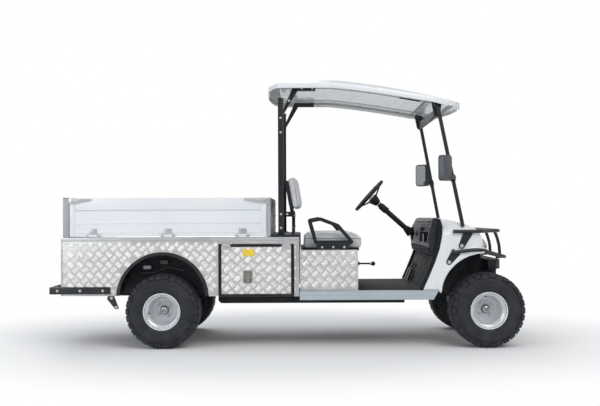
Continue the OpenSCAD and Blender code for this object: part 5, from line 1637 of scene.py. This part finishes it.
def bench():
    """The bench pad with its channels pressed in, and its welt, piping and stitches."""
    start = slab("bench", seat_outline(0.009), SEAT_LOW.y + 0.009, SEAT_HIGH.y - 0.009, SEAT_VINYL, 0)
    bevelled(start, 0.02, 4, 60)
    for v in start.data.vertices:
        for y in CHANNELS:
            if v.co.z > SEAT_HIGH.z - 0.03 and abs(v.co.y - y) < 0.004:
                v.co.z -= 0.004
    body = stuffed(
        "seat_pad", start, 0.008, seat_seams, 0.009, (SEAT_LOW.x + 0.0005, SEAT_LOW.y + 0.0005, SEAT_LOW.z),
        (SEAT_HIGH.x - 0.0005, SEAT_HIGH.y - 0.0005, SEAT_HIGH.z - 0.0005))
    tree = surface_of(body)
    x0, x1, y1, z = SEAT_LOW.x, SEAT_HIGH.x, SEAT_HIGH.y, SEAT_HIGH.z - 0.04
    ring = spread([(x0, -y1, z), (x1, -y1, z), (x1, y1, z), (x0, y1, z), (x0, -y1, z)], 0.02)[:-1]
    welt = on_surface(tree, ring, -0.0006)
    parts = [tube("welt", welt, 0.0034, VINYL_PIPING, 0, 8, closed=True)]
    below = [Vector(p) - Vector((0, 0, 0.0085)) for p in ring]
    parts.append(stitches("welt stitches", on_surface(tree, below)))
    for y in CHANNELS:
        line = spread(
            [(x0, y, z), (x0 + 0.03, y, SEAT_HIGH.z), (x1 - 0.03, y, SEAT_HIGH.z), (x1, y, z)], 0.015)
        parts += piped_channel(tree, line)
    return body, merged("seat_welts", parts)


BACK_TURN = Matrix.Translation((FRONT_X - 1.441, 0, 1.167)) @ Matrix.Rotation(radians(-10), 4, "Y")
BACK_HALF = (0.039, 0.505, 0.125)


def back_seams(co):
    """How far a point of the upright back pad is from its welt or its channels."""
    x, y, z = BACK_HALF
    welt = abs(co.x - 0.006) if max(abs(co.y) / y, abs(co.z) / z) > 0.86 else 1.0
    channel = min(abs(co.y - c) for c in CHANNELS) if co.x > x - 0.018 else 1.0
    return min(welt, channel, 0.0 if co.x < 0.003 - x else 1.0)


def back_rest():
    """The back pad, worked upright and then leaned, and its welt, piping and stitches."""
    x, y, z = BACK_HALF
    start = block(
        "back pad", (0.001 - x, 0.009 - y, 0.008 - z), (x - 0.009, y - 0.009, z - 0.008), SEAT_VINYL, 0)
    bevelled(start, 0.024, 5, 60)
    body = stuffed(
        "back_pad", start, 0.006, back_seams, 0.01, (-x, 0.0005 - y, 0.0005 - z),
        (x - 0.0005, y - 0.0005, z - 0.0005), BACK_TURN)
    tree = surface_of(body)
    ring = [(0.006, *p) for p in rounded_box(y, z, 0.03)]
    ring = [BACK_TURN @ p for p in spread(ring + ring[:1], 0.02)[:-1]]
    parts = [tube("welt", on_surface(tree, ring, -0.0006), 0.0032, VINYL_PIPING, 0, 8, closed=True)]
    for c in CHANNELS:
        line = [
            BACK_TURN @ p for p in spread([(x - 0.02, c, 0.004 - z), (x, c, 0.03 - z), (x, c, z - 0.03),
            (x - 0.02, c, z - 0.004)], 0.012)]
        parts += piped_channel(tree, line)
    return body, merged("back_welts", parts)


for make, body, node in ((bench, "seat_lift", "seat_cushion"), (back_rest, "chassis", "backrest_pad")):
    pad, welts = make()
    fit(pad, body, "grey_vinyl", node)
    fit(welts, body, "grey_vinyl", node)

fit(softened("seat_board", "seat_base", BLACK_PLASTIC, 0.0025), "seat_lift", "black_plastic", "seat_base")
shell_parts = [softened("back shell", "backrest_frame", BLACK_PLASTIC, 0.004, 35, 3)]
for y in (-0.36, -0.12, 0.12, 0.36):
    rib = block("shell rib", (-0.0645, y - 0.006, -0.085), (-0.0605, y + 0.006, 0.065), BLACK_PLASTIC, 0.0018)
    rib.data.transform(BACK_TURN)
    shell_parts.append(rib)
shell_bolts = [
    ((FRONT_X - 1.458 + 0.0082, side * 0.445, z), (1, 0, 0)) for side in (-1, 1) for z in (0.9, 0.99)]
shell_bolts += [((FRONT_X - 1.5, side * 0.512, 1.004), (0, side, 0)) for side in (-1, 1)]
shell_parts.append(studs("shell bolts", shell_bolts, HEX_BOLT, ZINC, 0.9))
fit(merged("back_shell", shell_parts), "chassis", "black_plastic", "backrest_frame")
arm_parts = [softened("arm loops", "armrests", BLACK_PLASTIC, 0.0095, 35, 4)]
arm_parts.append(
    studs("arm bolts", [((x, side * 0.6, 0.756), (0, side, 0)) for side in (-1, 1)
    for x in (0.262, 0.345, 0.428)], HEX_BOLT, ZINC, 0.9))
fit(merged("arm_rests", arm_parts), "chassis", "black_plastic", "armrests")


# ---- Cab ----

def dash_face(z):
    """How far along the cart the dashboard's rear face stands at a height."""
    line = [(0.688, -0.416), (0.8, -0.44), (0.9, -0.42), (0.962, -0.396), (0.971, -0.378)]
    for (z0, x0), (z1, x1) in zip(line, line[1:]):
        if z <= z1:
            return FRONT_X + x0 + (x1 - x0) * (z - z0) / (z1 - z0)
    return FRONT_X + line[-1][1]


def dashboard():
    """The moulded dash: rolled top, ribbed lower panel, gauge, switch, knobs and a trim line."""
    parts = [softened("dash", "dashboard", DASH_PLASTIC, 0.01, 30, 4)]
    for z, r in ((0.9415, 0.0085), (0.92, 0.006), (0.903, 0.0045)):
        parts.append(
            tube("dash roll", [(dash_face(z), -0.43, z), (dash_face(z), 0.43, z)], r, DASH_PLASTIC, 0, 12))
    parts.append(
        tube("dash line", [(dash_face(0.758) - 0.001, -0.538, 0.758),
        (dash_face(0.758) - 0.001, 0.538, 0.758)], 0.0032, GREY_TRIM, 0, 8))
    rib = block("dash rib", (-0.004, -0.0035, 0.0), (0.004, 0.0035, 0.052), DASH_PLASTIC, 0.0015)
    rib.data.transform(Matrix.Translation((dash_face(0.722), 0, 0.696)) @ Matrix.Rotation(-0.21, 4, "Y"))
    parts.append(rib_row("dash ribs", rib, 42, (0.0, -0.5125, 0.0), (0.0, 0.025, 0.0), DASH_PLASTIC))
    face = (-0.98, 0.0, 0.19)
    gauge = lathe(
        "gauge", [(0.0001, 0.004), (0.03, 0.004), (0.0315, 0.008), (0.035, 0.009), (0.0375, 0.006),
        (0.0375, -0.004), (0.0001, -0.004)], LAMP_RIM, 40)
    glass = lathe(
        "gauge glass", [(0.0001, 0.0062), (0.02, 0.0058), (0.0302, 0.0044), (0.03, 0.0036),
        (0.0001, 0.0036)], MIRROR_SHELL, 40)
    for piece in (gauge, glass):
        parts.append(placed(piece, (dash_face(0.872), -0.02, 0.872), face))
    for y, z, size in ((-0.115, 0.882, 1.0), (-0.165, 0.882, 1.0), (-0.215, 0.882, 0.8), (0.455, 0.88, 0.9)):
        knob = lathe(
            "knob", [(0.0001, 0.018), (0.008, 0.0175), (0.01, 0.015), (0.0105, 0.004), (0.015, 0.003),
            (0.0155, -0.003), (0.0001, -0.003)], BLACK_PLASTIC, 24)
        parts.append(placed(knob, (dash_face(z), y, z), face, 0, (size, size, size)))
    parts.append(
        tube("brake release", [(dash_face(0.79) - 0.004, -0.3, 0.777),
        (dash_face(0.86) - 0.012, -0.3, 0.848)], 0.0042, ZINC, 0, 10))
    screws = [((dash_face(z) - 0.001, side * 0.52, z), face) for side in (-1, 1) for z in (0.752, 0.905)]
    parts.append(studs("dash screws", screws, RIVET, ZINC, 1.1))
    edge = [(-0.361, 0.964), (-0.345, 0.908), (-0.35, 0.826), (-0.369, 0.735), (-0.4, 0.645),
            (-0.446, 0.535), (-0.4905, 0.4345)]
    band = [(FRONT_X + x + 0.01, z) for x, z in edge] + [(FRONT_X + x - 0.022, z) for x, z in reversed(edge)]
    for side in (-1, 1):
        parts.append(slab("cowl band", band, side * 0.5485, side * 0.5905, RUBBER_SEAL, 0.004))
        for i in range(len(edge) - 1):
            for k in range(9):
                t = (k + 0.5) / 9
                x = FRONT_X + edge[i][0] + (edge[i + 1][0] - edge[i][0]) * t - 0.006
                z = edge[i][1] + (edge[i + 1][1] - edge[i][1]) * t
                parts.append(block("band rib", (x - 0.014, side * 0.5912 - 0.0012, z - 0.0016),
                                   (x + 0.013, side * 0.5912 + 0.0012, z + 0.0016), RUBBER_SEAL, 0))
    return merged("dash", parts)


fit(dashboard(), "chassis", "black_plastic", "dashboard")

WHEEL_AT = Vector((FRONT_X - 0.82, 0.255, 1.16))
WHEEL_AXIS = (sin(radians(132)), 0, cos(radians(132)))


def steering_wheel():
    """Padded rim with finger grips behind, three spokes, a deep hub with its cap, and the shaft."""
    mid, r = 0.1565, 0.0135
    points, faces = [], []
    around, through = 144, 18
    for i in range(around):
        a = 2 * pi * i / around
        for k in range(through):
            b = 2 * pi * k / through
            grip = 0.0011 * (1 - abs(sin(18 * a))) * max(0.0, sin(b))
            reach = mid + (r - grip) * cos(b)
            points.append((reach * cos(a), reach * sin(a), (r - grip) * sin(b)))
            j, m = (i + 1) % around, (k + 1) % through
            faces.append((i * through + k, j * through + k, j * through + m, i * through + m))
    parts = [mesh_piece("wheel rim", points, faces, BLACK_PLASTIC, 60)]
    for turn in (90, 210, 330):
        spoke_points = [(0.154, y, z) for y in (-0.011, 0.011) for z in (-0.005, 0.005)]
        spoke_points += [(0.018, y, z) for y in (-0.018, 0.018) for z in (0.046, 0.058)]
        spoke = mesh_piece(
            "spoke", spoke_points, [(0, 1, 3, 2), (4, 6, 7, 5), (0, 4, 5, 1), (2, 3, 7, 6), (0, 2, 6, 4),
            (1, 5, 7, 3)], BLACK_STEEL)
        bevelled(spoke, 0.003)
        spoke.data.transform(Matrix.Rotation(radians(turn), 4, "Z"))
        parts.append(spoke)
    parts.append(
        lathe("hub", [(0.0001, 0.026), (0.03, 0.027), (0.044, 0.031), (0.0478, 0.037), (0.047, 0.044),
        (0.036, 0.078), (0.028, 0.1), (0.0245, 0.104), (0.0001, 0.104)], BLACK_PLASTIC, 48))
    parts.append(
        lathe("hub cap", [(0.0001, 0.0205), (0.018, 0.0215), (0.026, 0.0245), (0.0285, 0.0285),
        (0.0001, 0.03)], GREY_TRIM, 40))
    parts.append(lathe("shaft", [(0.0001, 0.06), (0.01, 0.06), (0.01, 0.16), (0.0001, 0.16)], ZINC, 24))
    return placed(merged("hand_wheel", parts), WHEEL_AT, WHEEL_AXIS)


fit(steering_wheel(), "steering_wheel", "black_plastic", "steering_wheel")

COLUMN = Vector((cos(radians(42)), 0, -sin(radians(42))))
column_parts = [softened("column", "steering_column", BLACK_PLASTIC, 0.003)]
column_parts.append(
    placed(lathe("column cuff", [(0.0225, 0.0), (0.027, 0.002), (0.0285, 0.01), (0.0285, 0.06),
    (0.0265, 0.068), (0.0225, 0.07)], BLACK_PLASTIC, 32), WHEEL_AT + COLUMN * 0.128, COLUMN))
boot = [(0.0225, 0.0)]
for i in range(6):
    boot += [(0.026 + 0.0022 * i, 0.004 + 0.01 * i), (0.029 + 0.0024 * i, 0.009 + 0.01 * i)]
boot += [(0.04, 0.066), (0.0225, 0.066)]
column_parts.append(placed(lathe("column boot", boot, RUBBER_SEAL, 36), WHEEL_AT + COLUMN * 0.41, COLUMN))
fit(merged("column_tube", column_parts), "chassis", "black_plastic", "steering_column")

lever_x, lever_z = 0.5308, 0.598
lever_parts = [softened("lever plate", "direction_lever", BLACK_PLASTIC, 0.003, 35, 3)]
fold = [
    (0.03, 0.014)] + [(r, 0.014 + h) for i in range(4)
    for r, h in ((0.03 - 0.005 * i, 0.004 + 0.009 * i), (0.024 - 0.005 * i, 0.009 + 0.009 * i))]
lever_parts.append(
    placed(lathe("lever boot", fold + [(0.007, 0.05), (0.007, 0.014)], RUBBER_SEAL, 32),
    (lever_x, 0, lever_z + 0.001), (1, 0, 0)))
lever_parts.append(
    placed(lathe("lever collar", [(0.007, 0.132), (0.0105, 0.134), (0.011, 0.146), (0.007, 0.148)], ZINC,
    24), (lever_x, 0, lever_z), (1, 0, 0)))
lever_parts.append(
    studs("lever screws", [((lever_x + 0.014, y, z), (1, 0, 0)) for y in (-0.045, 0.045)
    for z in (0.532, 0.678)], RIVET, ZINC, 1.2))
fit(merged("lever", lever_parts), "chassis", "black_plastic", "direction_lever")

pedal_parts = [softened("pedal arms", "pedals", BLACK_STEEL, 0.003, 35, 3)]
for y in (0.17, 0.3):
    for k in range(-4, 5):
        ridge = block("pedal rib", (-0.0088, -0.034, -0.0016 + 0.0095 * k),
                      (-0.0058, 0.034, 0.0016 + 0.0095 * k), RUBBER_SEAL, 0.0007)
        ridge.data.transform(
            Matrix.Translation((FRONT_X - 0.494, y, 0.498)) @ Matrix.Rotation(radians(22), 4, "Y"))
        pedal_parts.append(ridge)
fit(merged("pedal_set", pedal_parts), "chassis", "black_steel", "pedals")

floor_parts = [softened("pan", "floor_pan", RUBBER_MAT, 0.002)]
mat_rib = block("mat rib", (-0.0042, -0.555, -0.0006), (0.0042, 0.555, 0.0026), RUBBER_MAT, 0.0009)
floor_parts.append(rib_row("mat ribs", mat_rib, 25, (0.56, 0.0, 0.43), (0.0175, 0.0, 0.0), RUBBER_MAT))
toe_rib = block("toe rib", (-0.003, -0.555, -0.0042), (0.0004, 0.555, 0.0042), RUBBER_MAT, 0.0009)
floor_parts.append(
    rib_row("toe ribs", toe_rib, 14, (1.0165, 0.0, 0.4455), (0.00707, 0.0, 0.0175), RUBBER_MAT))
fit(merged("floor_mat", floor_parts), "chassis", "floor_rubber", "floor_pan")

sill_parts = [softened("sills", "rocker_panels", SILL_ALUMINIUM, 0.002)]
for side in (-1, 1):
    sill_parts.append(
        slab("sill bead", [(0.096, 0.3945), (1.108, 0.3945), (1.111, 0.4005), (0.096, 0.4005)],
        side * 0.6095, side * 0.6125, SILL_ALUMINIUM, 0.0014))
    sill_parts.append(
        slab("sill cap", [(0.094, 0.426), (1.128, 0.426), (1.1305, 0.4305), (0.094, 0.4305)], side * 0.577,
        side * 0.6115, RAIL_ALUMINIUM, 0.0012))
sill_parts.append(
    studs("sill screws", [((x, side * 0.61, 0.374), (0, side, 0)) for side in (-1, 1)
    for x in (0.14, 0.42, 0.72, 1.02)], RIVET, ZINC, 1.0))
fit(merged("sills", sill_parts), "chassis", "sill_aluminium", "rocker_panels")

deck_parts = [softened("deck", "rear_deck", BLACK_PLASTIC, 0.003)]
deck_rib = block("deck rib", (-0.0025, -0.57, -0.0005), (0.0025, 0.57, 0.0018), BLACK_PLASTIC, 0.0006)
deck_parts.append(rib_row("deck ribs", deck_rib, 7, (-0.012, 0.0, 0.848), (0.014, 0.0, 0.0), BLACK_PLASTIC))
fit(merged("deck", deck_parts), "chassis", "black_plastic", "rear_deck")

front_parts = [softened("seat front", "seat_front_panel", BLACK_PLASTIC, 0.002)]
for y0, y1 in ((-0.545, -0.075), (0.075, 0.545)):
    front_parts.append(
        block("seat front panel", (0.5295, y0, 0.475), (0.5335, y1, 0.7), BLACK_PLASTIC, 0.0018))
front_parts.append(
    studs("seat front screws", [((0.5336, y, z), (1, 0, 0)) for y in (-0.525, -0.095, 0.095, 0.525)
    for z in (0.492, 0.683)], RIVET, ZINC, 1.0))
fit(merged("seat_front", front_parts), "chassis", "black_plastic", "seat_front_panel")

post_bits = [softened("posts", "rear_roof_posts", BLACK_STEEL, 0.0035, 35, 3)]
post_bolts = []
for side in (-1, 1):
    post_bits.append(
        block("post cap", (-0.0705, side * 0.5 - 0.023, 1.8815), (-0.0245, side * 0.5 + 0.023, 1.8865),
        BLACK_PLASTIC, 0.002))
    post_bits.append(
        block("post foot", (-0.078, side * 0.5 - 0.034, 0.8482), (-0.017, side * 0.5 + 0.034, 0.8555),
        BLACK_STEEL, 0.002))
    post_bolts += [((-0.0475, side * 0.5212, z), (0, side, 0)) for z in (1.735, 1.625, 1.004, 0.9)]
    post_bolts += [((x, side * 0.5012, 1.96), (0, side, 0)) for x in (0.115, 0.195)]
    post_bolts += [((0.016, side * 0.5012, 1.868), (0, side, 0))]
post_bits.append(studs("post bolts", post_bolts, HEX_BOLT, ZINC, 1.0))
fit(merged("posts", post_bits), "chassis", "black_steel", "rear_roof_posts")

STRUT_HEAD = Vector((FRONT_X - 0.35, 0.512, 1.8))
STRUT_FOOT = Vector((FRONT_X - 0.178, 0.56, 0.85 + (0.6 - 0.5455) * 0.135 / 0.13 + 0.001))


def struts():
    """Front struts over the softened strut bars, with top gusset plates and their bolts."""
    parts = [softened("strut bars", "front_roof_struts", BLACK_STEEL, 0.003, 35, 3)]
    bolts = []
    for s in (-1, 1):
        head, foot = at_side(STRUT_HEAD, s), at_side(STRUT_FOOT, s)
        low, high = foot.lerp(head, 0.005), head + Vector((-0.03, 0, 0.062))
        parts.append(tube("strut", [low, head, high], 0.0146, BLACK_STEEL, 0.06, 24))
        parts.append(
            slab("gusset", [(head.x + 0.018, 1.772), (head.x + 0.03, 1.86), (head.x - 0.052, 1.862),
            (head.x - 0.03, 1.752), (head.x - 0.006, 1.735)], s * 0.4905, s * 0.4975, BLACK_STEEL, 0.0015))
        bolts += [((head.x - 0.004, s * 0.4975, 1.79), (0, s, 0)),
                  ((head.x - 0.028, s * 0.4975, 1.835), (0, s, 0))]
        bolts += [((head.x + 0.0065, s * 0.44, 1.775), (1, 0, 0))]
    parts.append(studs("strut bolts", bolts, HEX_BOLT, ZINC, 1.1))
    return merged("struts", parts)


fit(struts(), "chassis", "black_steel", "front_roof_struts")


def mirror_set():
    """Mirrors: a soft housing, the glass in its bezel, and the arm's clamp and bolt."""
    parts = [softened("mirror housings", "mirrors", MIRROR_SHELL, 0.007, 30, 4)]
    lean = (1.262 - STRUT_FOOT.z) / (STRUT_HEAD.z - STRUT_FOOT.z)
    at = STRUT_FOOT.lerp(STRUT_HEAD, lean)
    for s in (-1, 1):
        place = Matrix.Translation(
            (at.x - 0.07, s * (at.y + 0.072), 1.344)) @ Matrix.Rotation(radians(s * 38), 4, "Z")

        def face(name, half_y, half_z, x0, x1, corner, finish):
            piece = across(name, rounded_box(half_y, half_z, corner), x0, x1)
            piece.data.materials[0] = finish
            piece.data.transform(place)
            return piece

        parts += [face("bezel", 0.0635, 0.0935, -0.0235, -0.018, 0.026, BLACK_PLASTIC),
                  face("glass", 0.0565, 0.0865, -0.0245, -0.0225, 0.021, MIRROR_GLASS)]
        clamp = tube("clamp", [at.lerp(STRUT_HEAD, -0.028), at.lerp(STRUT_HEAD, 0.065)], 0.0185,
                     BLACK_PLASTIC, 0, 20)
        if s < 0:
            clamp.data.transform(Matrix.Diagonal((1, -1, 1, 1)))
            clamp.data.flip_normals()
        parts.append(clamp)
        parts.append(
            bolt("clamp bolt", (at.x + 0.0175, s * (at.y + 0.002), 1.276), (1, 0, 0), ZINC, 0.006, 0.006))
    return merged("mirror_set", parts)


fit(mirror_set(), "chassis", "black_plastic", "mirrors")


# ---- Running gear ----

GEAR = {
    "frame_rails": (CHASSIS_BLACK, 0.004), "crossmembers": (CHASSIS_BLACK, 0.003),
    "front_axle": (CHASSIS_BLACK, 0.004), "suspension": (CHASSIS_BLACK, 0.0018),
    "rear_axle": (CAST_DARK, 0.006), "battery_pack": (BATTERY_CASE, 0.006),
    "knuckle_left": (CAST_DARK, 0.003), "knuckle_right": (CAST_DARK, 0.003),
    "tie_rod": (BLACK_STEEL, 0.003)}
GEAR_SLOT = {
    CHASSIS_BLACK: "frame_black", CAST_DARK: "frame_black", BATTERY_CASE: "battery_case",
    BLACK_STEEL: "black_steel"}
for node, (paint, width) in GEAR.items():
    body = node if node.startswith("knuckle") or node == "tie_rod" else "chassis"
    fit(softened(f"{node}_cast", node, paint, width), body, GEAR_SLOT[paint], node)


for shape in SHAPES:
    bpy.data.objects.remove(shape)
